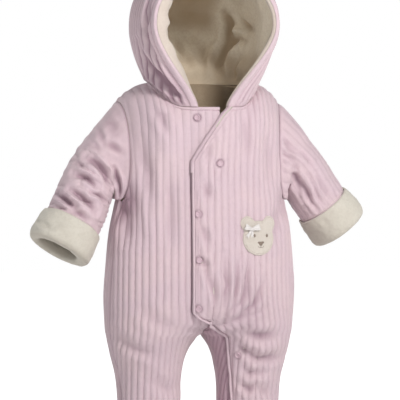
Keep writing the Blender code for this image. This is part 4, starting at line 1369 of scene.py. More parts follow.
def makeHoodBand(side, name, hemOf):
    look = hoodLook
    points, normals, across, flat = hoodSheet(0.0, bandShare, look["bandColumns"])
    at = np.linspace(0.0, 1.0, look["bandColumns"])[None, :]
    wave = 1.0 + look["bandUneven"] * softNoise(points, 14.0, 103)
    out = hoodCut["bandRaised"] - look["bandSunk"] + rolled(look["bandRoll"], at) * wave
    outer = hoodPlaced(points, normals, out, side)
    inner = hoodPlaced(points, normals, np.full(out.shape, -cut["wall"]), side)[::2, ::4]
    # painted shade along the roll's side that meets the hood
    trough = np.maximum(0.0, at * 4.0 - 3.4) + 0.0 * across
    makeCloth(name, "velour", points, outer, inner, flat, trough, [velour, fleece], hemOf=hemOf)


def makeHoodLining(side, name):
    look = liningLook
    under = cut["wall"] + cut["gap"] * look["under"]
    points, normals, across, flat = hoodSheet(0.0, 1.0, look["columns"])
    places = flipped(points, side)
    rises = hoodRises[:, None]
    sheets = zip(look["dents"], look["dentSizes"], (104, 105))
    dents = sum(deep * softNoise(places, size, seed) for deep, size, seed in sheets)
    loose = look["loose"] * ramp(across, *look["looseFrom"]) * ramp(rises, 0.0, 0.16)
    bulge, wide = rimRoll[side]
    uneven = 1.0 + look["uneven"] * softNoise(places, look["unevenSize"], 106)
    puffed = bulge * rolled(1.0, np.clip(across / wide, 0.0, 1.0)) * uneven * ramp(rises, -0.1, 0.25)
    pressed = foldDepth(places, -flipped(normals, side), liningFolds, hoodLook["azimuth"], look["foldWide"])
    pressed = pressed * look["foldStrength"]
    back = np.minimum(-under, hoodCreases(points, normals, across, side) - look["clear"] - cut["gap"])
    out = -under - cut["lining"] + (dents - pressed) * ramp(across, 0.0, 8.0) * ramp(rises, 0.0, 0.1)
    out = out - puffed - loose
    outer = hoodPlaced(points, normals, np.minimum(out, back - look["thinnest"]), side, look["drop"], 0.01)
    inner = hoodPlaced(points, normals, back, side, look["drop"])[::2, ::4]
    high, over = places[..., 2], places[..., 0]
    deep = look["crownShade"] * ramp(high, *look["crownFrom"]) * ramp(-over, *look["crownSide"])
    deep = deep + look["neckShade"] * ramp(-high, *look["neckFrom"])
    deep = deep + look["dentShade"] * dents / sum(look["dents"])
    shade = np.maximum(np.clip(-pressed / look["foldShade"], 0.0, 1.0), deep)
    shade = shade * ramp(across, wide - 6.0, wide + 6.0)
    finishes = [liningFleece, rimFleece]
    makeCloth(name, "fleece", points, outer, inner, flat, shade, finishes, trimmed=across < wide + 1.0)


for side, ending in ((-1, "right"), (1, "left")):
    makeHoodPanel(side, "hood_" + ending)
    makeHoodBand(side, "hood_band_" + ending, titled("hood_" + ending))
    makeHoodLining(side, "hood_lining_" + ending)
print("hood made")

stitchCut = {
    "pitch": 2.9,
    "length": 2.3,
    "thick": 0.62,
    "uneven": 0.12,
    "seed": 7,
    "step": 1.2,  # how far apart the places are that a line is drawn through
    "overlapInset": 3.4,
    "neckInset": 5.4,
    "bandLines": (2.0, 5.2),
    "cuffLine": 3.0,
    "hemLine": 9.0,
    "neckEnd": 44.0,
    "bearEdge": {"pitch": 2.2, "length": 1.7, "thick": 0.5},
    "mouth": {"pitch": 1.3, "length": 1.6, "thick": 0.6},
}

sleeveCut = {
    "right": {
        "side": -1,
        "end": (-171.0, -22.0, -165.0),
        "heading": (-0.50, -0.20, -0.84),
        "across": 36.5,
        "deep": 34.5,
        "ribs": 0.4,
        "foldStrength": 2.3,
        "foldWide": 0.7,
        "rucked": 2.0,
        "slant": 0.25,
        "folds": (
            (3.6, 6.0, (-141.8, -77.6), (-128.8, -88.8), (-117.7, -101.8), (-110.2, -113.0)),
            (3.2, 5.0, (-159.4, -100.0), (-143.7, -105.4), (-128.8, -116.6)),
            (3.4, 5.5, (-164.1, -120.4), (-151.1, -127.8), (-139.9, -137.0), (-130.7, -148.2)),
            (3.4, 5.5, (-179.9, -126.0), (-169.7, -131.4), (-158.5, -140.8)),
            (1.8, 5.0, (-136.2, -124.0), (-125.1, -128.7), (-113.9, -139.0)),
            (1.3, 5.5, (-118.6, -61.0), (-106.5, -66.4), (-95.4, -74.0)),
            (0.9, 4.5, (-134.4, -62.8), (-126.9, -70.2)),
            (0.8, 8.0, (-120.2, -29.9), (-102.8, -46.0)),
            (3.0, 4.5, (-107.9, -93.6), (-102.7, -109.2), (-100.8, -130.0)),
            (1.6, 4.5, (-160.6, -142.6), (-145.5, -153.8), (-138.5, -159.9)),
            (1.2, 4.0, (-184.5, -141.3), (-165.9, -146.9), (-151.1, -152.5)),
            (1.2, 3.5, (-154.7, -87.1), (-146.2, -91.0)),
            (0.8, 5.0, (-129.3, -41.6), (-122.9, -52.0), (-122.9, -61.1)),
        ),
        "foldsBehind": (
            (2.6, 6.0, (118.0, -74.0), (132.0, -92.0), (150.0, -96.0)),
            (2.8, 6.0, (116.0, -100.0), (132.0, -114.0), (152.0, -118.0)),
            (2.4, 6.0, (126.0, -62.0), (140.0, -76.0), (150.0, -90.0)),
            (2.2, 6.0, (138.0, -128.0), (152.0, -138.0), (176.0, -140.0)),
            (1.8, 6.0, (112.0, -40.0), (122.0, -54.0), (126.0, -72.0)),
        ),
        "cuffFolds": (
            (1.6, 3.0, (-206.1, -159.9), (-190.1, -165.0), (-184.0, -170.3)),
            (1.2, 4.0, (-178.8, -173.6), (-147.6, -181.6), (-139.8, -183.3)),
            (1.0, 3.0, (-197.0, -162.5), (-186.6, -169.0)),
        ),
    },
    "left": {
        "side": 1,
        "end": (169.0, 6.0, -143.0),
        "heading": (0.63, 0.06, -0.77),
        "across": 34.0,
        "deep": 36.0,
        "ribs": 1.1,
        "foldStrength": 1.8,
        "foldWide": 1.0,
        "rucked": 0.7,
        "slant": -0.25,
        "folds": (
            (1.5, 3.2, (105.0, -54.5), (119.9, -69.3), (131.0, -74.1)),
            (2.0, 3.4, (104.1, -71.1), (116.2, -78.5), (125.5, -87.9), (131.0, -95.3)),
            (1.6, 3.2, (105.0, -82.3), (116.2, -87.9), (123.6, -93.5)),
            (3.6, 4.5, (123.6, -95.3), (126.4, -110.1), (132.9, -121.3), (136.6, -130.0)),
            (2.4, 3.6, (129.2, -101.4), (140.3, -119.5), (147.7, -136.1), (157.0, -147.3)),
            (2.4, 3.6, (137.2, -94.0), (147.7, -113.9), (157.0, -132.5), (168.2, -145.5)),
            (1.8, 3.6, (145.9, -95.3), (157.0, -113.9), (168.2, -132.5), (177.5, -141.7)),
            (1.2, 3.6, (155.2, -102.7), (170.0, -124.9), (183.0, -136.1)),
            (1.4, 3.2, (132.0, -70.2), (142.3, -84.5), (148.8, -93.6)),
            (1.2, 4.0, (136.6, -113.1), (142.3, -130.0), (142.3, -143.0)),
        ),
        "foldsBehind": (
            (2.6, 6.0, (-112.0, -88.0), (-128.0, -100.0), (-148.0, -104.0)),
            (2.4, 6.0, (-118.0, -58.0), (-134.0, -70.0), (-146.0, -84.0)),
            (2.0, 6.0, (-134.0, -116.0), (-150.0, -122.0), (-170.0, -120.0)),
            (1.8, 6.0, (-110.0, -36.0), (-120.0, -50.0), (-124.0, -66.0)),
        ),
        "cuffFolds": (
            (1.2, 5.0, (181.3, -141.7), (190.5, -156.0), (189.2, -171.6)),
            (1.0, 4.0, (160.6, -159.9), (171.0, -171.6)),
        ),
    },
}
cuffCut = {
    "length": 38.0,
    "profile": (
        (0.2, 0.9),
        (-0.6, 2.4),
        (1.2, 4.2),
        (12.0, 5.2),
        (29.0, 5.4),
        (36.0, 4.0),
        (39.3, 0.2),
        (39.3, -5.0),
        (37.0, -10.4),
        (31.0, -12.8),
        (24.0, -9.6),
        (20.5, -4.8),
        (22.0, -3.5),
        (34.2, -3.5),
        (34.8, -1.2),
        (34.2, 0.8),
        (12.0, 0.8),
    ),
}
sleeveStart = {
    "leaves": unit(np.array((0.86, 0.0, -0.5))),
    "clear": (1.2, 2.5),  # gaps between it and the armhole, and how many more low down
    "low": (115.0, 135.0),
    "swell": 0.05,
    "flat": 0.9,
}


def armholeRing():
    rows = cut["chest"] + cut["yoke"] * np.linspace(0.0, neckRows[1], 45)
    stops = [(1, level) for level in rows[::-1]] + [(-1, level) for level in rows[1:]]
    points, normals = [], []
    for face, level in stops:
        point, normal, _ = surfaceAt(face, level, seamEnd(face, level), 0.6)
        points.append(point)
        normals.append(normal)
    points, normals = np.array(points), np.array(normals)
    points[-1] = points[0]
    normals[0] = normals[-1] = unit(normals[0] + normals[-1])
    bottom = len(rows) - 1
    normals[bottom] = unit(normals[bottom] * (1.0, 0.2, 0.2))
    runs = np.gradient(points, axis=0)
    runs[0] = runs[-1] = points[1] - points[-2]
    away = unit(np.cross(normals, runs))
    outwards = points[:-1].mean(axis=0) + (30.0, 0.0, 0.0) - points
    away *= np.sign(np.einsum("ij,ij->i", away, outwards))[:, None]
    return points, away


armhole, armholeAway = armholeRing()
armholeKeys = alongLine(armhole) / alongLine(armhole)[-1]


def ringAt(turns, values):
    return atKeys(turns, armholeKeys, values)


def sleeveFrame(spec):
    heading = unit(flipped(np.array(spec["heading"]), spec["side"]))
    up = unit(np.cross(heading, (0.0, 1.0, 0.0)))
    up = up if up[2] > 0 else -up
    deep = unit(np.cross(heading, up))
    return flipped(np.array(spec["end"]), spec["side"]), heading, up, deep if deep[1] < 0 else -deep


def endRing(spec, turns, out=0.0, along=0.0):
    centre, heading, up, deep = sleeveFrame(spec)
    angle = turns * 2 * np.pi
    over = np.cos(angle)[:, None] * up * (spec["across"] + np.reshape(out, (-1, 1)))
    forward = np.sin(angle)[:, None] * deep * (spec["deep"] + np.reshape(out, (-1, 1)))
    return centre + heading * along + over + forward


def sleeveRing(spec, share, turns):
    gaps, more = sleeveStart["clear"]
    clear = cut["gap"] * (gaps + more * ramp(-armhole[:, 2], *sleeveStart["low"]))
    start = ringAt(turns, armhole + armholeAway * clear[:, None])
    centre, heading, _, _ = sleeveFrame(spec)
    hole = armhole[:-1].mean(axis=0)
    reach = np.linalg.norm(centre - hole)
    path = bridge(hole, sleeveStart["leaves"] * reach, centre, heading * reach, share)
    tilt = unit(mix(sleeveStart["leaves"], heading, smooth(share)))
    ring = (endRing(spec, turns) - centre) * (1.0 + sleeveStart["swell"] * np.sin(np.pi * share))
    ring -= np.outer(ring @ tilt, tilt) * sleeveStart["flat"]
    return mix(start - hole, ring, smooth(share / 0.5)) + path


sleeveLook = {
    "sides": 192,
    "rings": 105,
    "ringsInside": 8,  # beneath the cuff, which they end this far short of:
    "short": 4.4,
    "radius": 35.5,  # the girth that its cloth is laid out on
    "ribs": 24,
    "stray": 0.9,
    "straySize": 26.0,
    "uneven": (0.75, 0.35),
    "unevenSize": 30.0,
    "ruckSize": (26.0, 9.0, 9.0),
    "dents": 1.3,
    "dentSize": 22.0,
    "thinnest": 1.8,
    "ribShade": 0.46,
    "seamShade": 0.9,
    "seamWide": 3.0,
    "threadOut": 0.15,
}


def facingOut(points, normals):  # a tube's normals, turned outwards all together
    outwards = points - points.mean(axis=1, keepdims=True)
    return normals * np.sign(np.einsum("ijk,ijk->ij", normals, outwards)[20].mean())


def makeSleeve(name, spec):
    look = sleeveLook
    side = spec["side"]
    turns = np.arange(look["sides"]) / look["sides"]
    shares = np.linspace(0.0, 1.0, look["rings"])
    _, heading, _, _ = sleeveFrame(spec)
    rings = [sleeveRing(spec, share, turns) for share in shares]
    last, more = len(rings) - 1, look["ringsInside"]
    reach = cuffCut["length"] - look["short"]
    rings += [rings[-1] + heading * reach * i / more for i in range(1, more + 1)]
    points = np.array(rings)
    shares = np.concatenate((shares, np.ones(more)))
    normals = facingOut(points, gridNormals(points, 1, closed=True))
    out = ringAt(turns, armholeAway)
    normals[0] = unit(normals[0] - out * np.maximum(np.einsum("ij,ij->i", normals[0], out), 0.0)[:, None])
    places, facing = flipped(points, side), flipped(normals, side)
    along = alongLine(points[:, 0])
    around = turns * 2 * np.pi * look["radius"]
    flat = np.stack(np.broadcast_arrays(around[None, :], along[:, None]), axis=-1)
    wander = look["stray"] * softNoise(places, look["straySize"], 121)
    wave = np.abs(np.sin(np.pi * (turns[None, :] * look["ribs"] + wander / cut["ribPitch"])))
    fade = (ramp(shares, 0.0, 0.08) * ramp(along[last] - along, 0.0, 6.0))[:, None]
    even, uneven = look["uneven"]
    height = spec["ribs"] * (even + uneven * softNoise(places, look["unevenSize"], 122))
    folded = foldDepth(places, facing, spec["folds"], -13.0, spec["foldWide"])
    folded = (folded + foldDepth(places, facing, spec["foldsBehind"], 180.0)) * fade * spec["foldStrength"]
    slanted = flat[..., 1] + spec["slant"] * flat[..., 0]
    rucks = softNoise(np.stack((flat[..., 0], slanted, 0.0 * slanted), axis=-1), look["ruckSize"], 124)
    rucks = rucks * ramp(shares, 0.2, 0.5)[:, None]
    folded = folded - spec["rucked"] * (1.0 - np.abs(rucks)) ** 3 * fade
    dents = look["dents"] * softNoise(places, look["dentSize"], 123)
    out = (height * wave**0.75 + dents) * fade + folded
    outer = flipped(points + normals * out[..., None], side)
    under = np.minimum(-cut["wall"], out - look["thinnest"])
    inner = flipped(points + normals * under[..., None], side)[::2, ::4]
    trough = np.maximum((1.0 - wave**0.9) * fade * look["ribShade"] * spec["ribs"], foldShade(folded))
    trough = np.maximum(trough, look["seamShade"] * bell(along, look["seamWide"])[:, None])
    sheets = (points, outer, inner, flat, trough)
    # inside=1.0 puts the whole inner sheet of the sleeve in painted shade
    makeCloth("sleeve_" + name, "velour", *sheets, [velour, fleece], closed=True, inside=1.0)
    row = int(np.argmin(np.abs(along[: last + 1] - (along[last] - stitchCut["cuffLine"]))))
    ring = (outer + facing * look["threadOut"])[row]
    surfaces["cuffLine" + name] = np.concatenate((ring, ring[:1]))


def closedCurve(points, count):  # a smooth closed line through points, evenly spaced
    points = np.array(points, dtype=float)
    t = np.linspace(0.0, 1.0, 24, endpoint=False)[:, None]
    dense = []
    for i in range(len(points)):
        a, b, c, d = (points[(i + k) % len(points)] for k in (-1, 0, 1, 2))
        bend = (2 * a - 5 * b + 4 * c - d) * t * t + (3 * b - a - 3 * c + d) * t**3
        dense.append(0.5 * (2 * b + (c - a) * t + bend))
    dense = np.concatenate((*dense, dense[0][:1]))
    run = alongLine(dense)
    return atKeys(np.linspace(0.0, run[-1], count, endpoint=False), run, dense)


cuffLook = {
    "sides": 168,
    "rings": 110,
    "wall": 3.5,  # how far inwards the sleeve's wall is, past which the rim rolls
    "flatter": 0.68,  # behind, the rim rolls in less
    "flare": 1.5,
    "clumps": ((0.45, 4.2, 131), (0.25, 2.1, 132)),
    "dents": 0.8,
    "dentSize": (17.0, 17.0, 13.0),
    # painted shade inside the opening and on the faces that turn down
    "inside": 1.2,
    "beneath": 0.7,
    "radius": 39.0,
    "fold": 14.0,  # what its turned end takes of the two layers' length
}


def makeCuff(name, spec):
    look = cuffLook
    side, sides = spec["side"], look["sides"]
    turns = np.arange(sides) / sides
    profile = closedCurve(cuffCut["profile"], look["rings"])
    flatter = 1.0 - look["flatter"] * ramp(-np.sin(turns * 2 * np.pi), -0.35, 0.75)
    rings = []
    for along, out in profile:
        flare = look["flare"] * float(smooth(along / cuffCut["length"])) if out > 1.0 else 0.0
        beyond = min(out + look["wall"], 0.0) * flatter
        rings.append(endRing(spec, turns, max(out, -look["wall"]) + flare + beyond, along))
    points = np.array(rings)
    looped = np.concatenate((points[-1:], points, points[:1]))
    normals = facingOut(points, gridNormals(looped, 1, closed=True)[1:-1])
    places, facing = flipped(points, side), flipped(normals, side)
    shown = ramp(profile[:, 1], 1.0, 3.0)[:, None]
    clumps = sum(height * softNoise(places, size, seed) for height, size, seed in look["clumps"])
    dents = look["dents"] * softNoise(places, look["dentSize"], 133)
    pressed = foldDepth(places, facing, spec["cuffFolds"], -13.0)
    out = (clumps + dents * shown + pressed * shown) * ramp(np.abs(profile[:, 1]), 1.0, 3.0)[:, None]
    outer = flipped(points + normals * out[..., None], side)
    index = np.arange(len(outer) * sides).reshape(-1, sides)
    ahead, over = np.roll(index, -1, axis=0), np.roll(index, -1, axis=1)
    faces = np.stack((index, over, np.roll(ahead, -1, axis=1), ahead), axis=-1).reshape(-1, 4)
    data = meshOf("cuff", outer, faces.tolist())
    data.materials.append(fleece)
    # painted shade inside the opening and on the faces that turn down
    inside = look["inside"] * ramp(-profile[:, 1], 1.0, 4.0) * ramp(-profile[:, 0], -38.5, -32.5)
    markTroughs(data, np.maximum(inside[:, None], look["beneath"] * ramp(-normals[..., 2], -0.3, 0.8)))
    made = finishMesh("Cuff" + name.title(), data)
    girth, length = 2 * np.pi * look["radius"], 2 * cuffCut["length"] - look["fold"]
    flat = np.array(((0.0, 0.0), (girth, length)))[None]  # its two layers and the fold
    declareCloth(made, "cuff_" + name, flat, girth * length * mm * mm, "folded")


for name, spec in sleeveCut.items():
    makeSleeve(name, spec)
    makeCuff(name, spec)
print("sleeves and cuffs made")


def closedRings(work, rings):  # joins rings of places in metres into one closed body
    rings = [[work.verts.new(place) for place in ring] for ring in rings]
    for low, high in zip(rings, rings[1:]):
        for i in range(len(low)):
            work.faces.new((low[i - 1], low[i], high[i], high[i - 1]))
    work.faces.new(rings[0])
    work.faces.new(rings[-1])


def makeSnaps():
    work = bmesh.new()
    angles = np.arange(snapCut["sides"])[:, None] / snapCut["sides"] * 2 * np.pi
    for _, height, x, under, onTop in snapCut["places"]:
        point, normal, over, up, lift = snapPlace(height, x, onTop)
        point = point + (legsParted(point[0], height), 0.0, 0.0)
        base = onRibs * under + cut["gap"] + lift - snapCut["sunk"]
        circle = (over * np.cos(angles) + up * np.sin(angles)) * snapCut["radius"]
        profile = snapCut["profile"][1:-1]
        closedRings(work, [(point + circle * reach + normal * (base + rise)) * mm for reach, rise in profile])
    data = bpy.data.meshes.new("snaps")
    work.to_mesh(data)
    work.free()
    data.materials.append(pearlSnap)
    made = finishMesh("Snaps", data, 60.0)
    settle(made, [row[0] for row in snapCut["places"]])


makeSnaps()

bearCut = {
    "height": -184.0,
    "x": 60.0,
    "halfWidth": 22.4,
    "halfHeight": (20.6, 23.0),  # below and above the middle
    "earRadius": 9.6,
    "earReach": 25.0,
    "earAngle": 39.0,
    "thickness": 2.05,
    "dome": 1.35,
    "eyes": ((-7.8, 4.2, 1.8, 2.2), (10.6, 4.2, 1.8, 2.2)),  # across, up, half width, half height
    "nose": (1.4, -5.4, 4.2, 2.6),
    "mouth": ((1.4, -7.8), (1.4, -10.4)),
    "smile": (
        (-2.4, -9.4),
        (-1.2, -10.9),
        (0.4, -11.2),
        (1.4, -10.4),
        (2.4, -11.2),
        (4.0, -10.9),
        (5.2, -9.4),
    ),
    "stitchInset": 0.925,
}


def bearReach(angle):
    ray = np.array((np.cos(angle), np.sin(angle)))
    reach = 1.0 / np.hypot(ray[0] / bearCut["halfWidth"], ray[1] / bearCut["halfHeight"][int(ray[1] > 0.0)])
    for sign in (-1, 1):
        turn = math.radians(90.0 + sign * bearCut["earAngle"])
        ear = bearCut["earReach"] * np.array((math.cos(turn), math.sin(turn)))
        along = ray @ ear
        off = ear @ ear - along**2
        if along > 0 and off < bearCut["earRadius"] ** 2:
            reach = max(reach, along + math.sqrt(bearCut["earRadius"] ** 2 - off))
    return reach


def onFront(spots, out):  # spots in millimetres across and up the cloth, from the middle of the bear
    across = acrossAt(1, bearCut["height"], bearCut["x"])
    places = np.zeros((len(spots), 3))
    for i, (side, up) in enumerate(spots):
        point, normal, _, _ = placeOn(bearCut["height"] + up, across + side)
        places[i] = point + normal * out[i]
    return places


def bearOutline(angles):
    reach = np.array([bearReach(angle) for angle in angles])
    smoothed = sum(np.roll(reach, k) for k in (-2, -1, 0, 1, 2)) / 5
    return np.stack((np.cos(angles), np.sin(angles)), axis=1) * smoothed[:, None]


def bearTop(spots):  # how high the bear stands off the cloth at each spot
    spots = np.atleast_2d(spots)
    reach = np.array([bearReach(math.atan2(up, over)) for over, up in spots])
    share = np.clip(np.linalg.norm(spots, axis=1) / reach, 0.0, 1.0)
    domed = bearCut["thickness"] + bearCut["dome"] * (1.0 - share**2)
    return onRibs + cut["gap"] + domed


def ringedMesh(name, spots, heights, sides, material):  # rings of points on the front, closed at both ends
    places = onFront(np.concatenate(spots), np.concatenate(heights))
    index = np.arange(len(spots) * sides).reshape(-1, sides)
    ahead = np.roll(index, -1, axis=1)
    faces = np.stack((index[:-1], ahead[:-1], ahead[1:], index[1:]), axis=-1).reshape(-1, 4).tolist()
    faces += [index[0].tolist(), index[-1].tolist()]
    data = meshOf(name, places, faces)
    data.materials.append(material)
    return finishMesh(name, data)


bearLook = {
    "sides": 180,
    "wall": ((1.0, 0.0), (1.015, 0.7), (1.0, 1.5), (0.975, 2.0)),  # share of its outline, height
    "shares": (0.955, 0.94, 0.925, 0.91, 0.89, 0.85, 0.8, 0.7, 0.6, 0.5, 0.4, 0.3, 0.2, 0.1),
    "groove": 0.6,
    "grooveWide": 0.02,
    "pile": 0.3,
    "pileSize": 3.2,
    "pileAbove": 1.8,
    "flat": (46.0, 50.0),
    "area": 0.0017,  # square metres
    "sewnSides": 36,
    "sewn": ((1.0, -0.4), (1.0, 0.15), (0.9, 0.42), (0.7, 0.62), (0.4, 0.75), (0.1, 0.78)),
    "noseCorners": 0.24,
}


def makeBear():
    look = bearLook
    sides = look["sides"]
    outline = bearOutline(np.arange(sides) / sides * 2 * np.pi)
    shells = [*look["wall"]]
    shells += [(share, bearCut["thickness"] + bearCut["dome"] * (1 - share**2)) for share in look["shares"]]
    spots, heights = [], []
    for share, out in shells:
        groove = look["groove"] * bell(share - bearCut["stitchInset"], look["grooveWide"])
        texture = softNoise(np.column_stack((outline * share, np.zeros(sides))), look["pileSize"], 141)
        spots.append(outline * share)
        texture = texture * look["pile"] * (out > look["pileAbove"])
        heights.append(onRibs + cut["gap"] + out - groove + texture)
    made = ringedMesh("BearHead", spots, heights, sides, bearFleece)
    flat = np.array(((0.0, 0.0), look["flat"]))[None]
    declareCloth(made, "bear_head", flat, look["area"], "laid")


def makeBearFace():  # sewn eyes and nose, a soft oval and a soft triangle
    sides = bearLook["sewnSides"]
    angles = np.arange(sides) / sides * 2 * np.pi
    right, left = [(spot, np.ones(sides)) for spot in bearCut["eyes"]]
    nose = (bearCut["nose"], 1.0 + bearLook["noseCorners"] * np.sin(3.0 * angles))
    for name, shape in {"BearEyeRight": right, "BearEyeLeft": left, "BearNose": nose}.items():
        (over, up, wide, high), bend = shape
        ring = np.stack((np.cos(angles) * wide, np.sin(angles) * high), axis=1) * bend[:, None]
        spots = [ring * share + (over, up) for share, _ in bearLook["sewn"]]
        heights = [bearTop(spot) + out for spot, (_, out) in zip(spots, bearLook["sewn"])]
        settle(ringedMesh(name, spots, heights, sides, taupeThread))


makeBear()
makeBearFace()

bowCut = {
    "middle": (-12.2, 12.4),
    "loops": ((14.0, 11.0, 8.0), (158.0, 9.5, 7.5)),  # which way it points, length, width
    "tails": ((236.0, 12.0, 4.4), (276.0, 10.5, 4.2)),
    "ribbon": 0.3,
    "clear": 0.4,
    "waist": 0.34,  # a loop's width at the knot, as a share of its widest
    "arch": 3.4,
    "pleat": 0.5,
    "droop": 0.9,
    "tailArch": 1.2,
    "tailPleat": 0.25,
    "notch": 0.16,
    "curl": 0.9,
    "knot": (2.0, 2.4, 2.0, 1.7),  # half width, half height, how far out its middle is, half depth
    "knotSides": 20,
}


def bowSheet(turn, along, lateral, height):  # a strip of ribbon, laid out from the knot
    turn = math.radians(turn)
    forward = np.array((math.cos(turn), math.sin(turn)))
    sideways = np.array((-forward[1], forward[0]))
    spots = np.array(bowCut["middle"]) + along[..., None] * forward + lateral[..., None] * sideways
    base = float(bearTop(bowCut["middle"])[0]) + bowCut["clear"]
    places = onFront(spots.reshape(-1, 2), base + height.ravel())
    return places, linkedFaces(*along.shape, 0, False)[1]


def bowLoop(turn, length, wide):
    run, over = np.meshgrid(np.linspace(0.0, 1.0, 33), np.linspace(-1.0, 1.0, 13), indexing="ij")
    reach = np.sin(np.pi * run)
    spread = wide * mix(bowCut["waist"], 1.0, reach**0.8)
    pleats = bowCut["pleat"] * np.cos(over * 2.2 * np.pi) * (1.0 - reach) ** 0.8
    height = 0.2 + bowCut["arch"] * np.sin(0.78 * np.pi * run) + pleats - bowCut["droop"] * over**2 * reach
    return bowSheet(turn, length * reach, over * spread / 2, height)


def bowTail(turn, length, wide):
    run, over = np.meshgrid(np.linspace(0.0, 1.0, 25), np.linspace(-1.0, 1.0, 9), indexing="ij")
    spread = wide * (0.5 + 0.5 * run)
    notch = 1.0 - bowCut["notch"] * (1.0 - np.abs(over)) * run
    pleats = bowCut["tailPleat"] * np.cos(over * 2.0 * np.pi) * (1.0 - run)
    height = bowCut["tailArch"] * (1.0 - run) + 0.5 * np.sin(run * 7.0) * run + pleats
    lateral = over * spread / 2 + bowCut["curl"] * np.sin(2.4 * run)
    return bowSheet(turn, length * run * notch, lateral, height)


def bowKnot():
    base = float(bearTop(bowCut["middle"])[0])
    angle = np.arange(bowCut["knotSides"]) / bowCut["knotSides"] * 2 * np.pi
    wide, high, middle, deep = bowCut["knot"]
    rings = []
    for level in np.linspace(-1.0, 1.0, 9):
        side = math.sqrt(1.0 - abs(level) ** 3)
        over = wide * side * np.cos(angle) * (1.0 + 0.12 * level * level)
        out = middle + deep * side * np.sin(angle) - 0.25 * np.cos(3.0 * angle)
        spots = np.stack((over, np.full(len(over), high * level)), axis=1) + bowCut["middle"]
        rings.append(onFront(spots, base + out) * mm)
    return rings


def afterModifiers(loose):
    made = bpy.data.meshes.new_from_object(loose.evaluated_get(bpy.context.evaluated_depsgraph_get()))
    bpy.data.objects.remove(loose)
    return made


def makeBow():
    spots, faces = [], []
    sheets = [bowLoop(*loop) for loop in bowCut["loops"]] + [bowTail(*tail) for tail in bowCut["tails"]]
    for places, links in sheets:
        faces += [[i + len(spots) for i in face] for face in links]
        spots += places.tolist()
    loose = linked("bow", meshOf("bow", spots, faces))
    wall = loose.modifiers.new("ribbon", "SOLIDIFY")
    wall.thickness = bowCut["ribbon"] * mm
    wall.offset = 0.0
    solid = afterModifiers(loose)
    work = bmesh.new()
    work.from_mesh(solid)
    closedRings(work, bowKnot())
    work.to_mesh(solid)
    work.free()
    solid.materials.clear()
    solid.materials.append(satin)
    settle(finishMesh("BearBow", solid), ["bear_bow"])


makeBow()
print("snaps, bear and bow made")


def stitchTree():  # short threads laid end to end along every line that it is given
    tree = bpy.data.node_groups.new("stitchRow", "GeometryNodeTree")
    kinds = {
        "Lines": "Geometry",
        "Pitch": "Float",
        "Length": "Float",
        "Thickness": "Float",
        "Unevenness": "Float",
        "Seed": "Int",
        "Thread": "Material",
    }
    for name, kind in kinds.items():
        tree.interface.new_socket(name, in_out="INPUT", socket_type="NodeSocket" + kind)
    tree.interface.new_socket("Stitches", in_out="OUTPUT", socket_type="NodeSocketGeometry")

    def add(kind, settings=None, inputs=None):
        made = tree.nodes.new(kind)
        for key, value in (settings or {}).items():
            setattr(made, key, value)
        for key, value in (inputs or {}).items():
            if isinstance(value, bpy.types.NodeSocket):
                tree.links.new(value, made.inputs[key])
            else:
                made.inputs[key].default_value = value
        return made

    given = add("NodeGroupInput").outputs
    line = add("GeometryNodeMeshToCurve", None, {"Mesh": given["Lines"]})
    spacing = {"Curve": line.outputs[0], "Length": given["Pitch"]}
    points = add("GeometryNodeResampleCurve", {"mode": "LENGTH"}, spacing)
    bead = add("GeometryNodeMeshUVSphere", None, {"Segments": 6, "Rings": 4, "Radius": 0.5})
    tangent = add("GeometryNodeInputTangent").outputs[0]
    turned = add("FunctionNodeAlignRotationToVector", {"axis": "X"}, {"Vector": tangent})
    sides = {"X": given["Length"], "Y": given["Thickness"], "Z": given["Thickness"]}
    size = add("ShaderNodeCombineXYZ", None, sides)
    least = add("ShaderNodeMath", {"operation": "SUBTRACT"}, {0: 1.0, 1: given["Unevenness"]})
    most = add("ShaderNodeMath", {"operation": "ADD"}, {0: 1.0, 1: given["Unevenness"]})
    chance = add("FunctionNodeRandomValue", {"data_type": "FLOAT"})
    ends = {"Min": least.outputs[0], "Max": most.outputs[0], "Seed": given["Seed"]}
    for socket in chance.inputs:
        if socket.enabled and socket.name in ends:
            tree.links.new(ends[socket.name], socket)
    factor = next(socket for socket in chance.outputs if socket.enabled)
    scaled = add("ShaderNodeVectorMath", {"operation": "SCALE"}, {"Vector": size.outputs[0], "Scale": factor})
    parts = {"Points": points, "Instance": bead, "Rotation": turned, "Scale": scaled}
    parts = {name: node.outputs[0] for name, node in parts.items()}
    placed = add("GeometryNodeInstanceOnPoints", None, parts)
    real = add("GeometryNodeRealizeInstances", None, {"Geometry": placed.outputs[0]})
    dyed = {"Geometry": real.outputs[0], "Material": given["Thread"]}
    finished = add("GeometryNodeSetMaterial", None, dyed)
    add("NodeGroupOutput", None, {"Stitches": finished.outputs[0]})
    return tree


stitches = stitchTree()


def sewLines(name, lines, thread, slot, **sizes):  # each line is a row of places in millimetres
    spots, edges = [], []
    for line in lines:
        start = len(spots)
        spots += np.asarray(line).tolist()
        edges += [(start + i, start + i + 1) for i in range(len(line) - 1)]
    guide = linked(name + "Guide", meshOf(name, spots, [], edges))
    modifier = guide.modifiers.new("stitches", "NODES")
    modifier.node_group = stitches
    sizes = stitchCut | sizes
    values = {
        "Pitch": sizes["pitch"] * mm,
        "Length": sizes["length"] * mm,
        "Thickness": sizes["thick"] * mm,
        "Unevenness": sizes["uneven"],
        "Seed": sizes["seed"],
        "Thread": thread,
    }
    for item in stitches.interface.items_tree:
        if item.in_out == "INPUT" and item.name in values:
            modifier[item.identifier] = values[item.name]
    sewn = afterModifiers(guide)
    sewn.name = name
    sewn.shade_smooth()
    settle(linked(name, sewn))


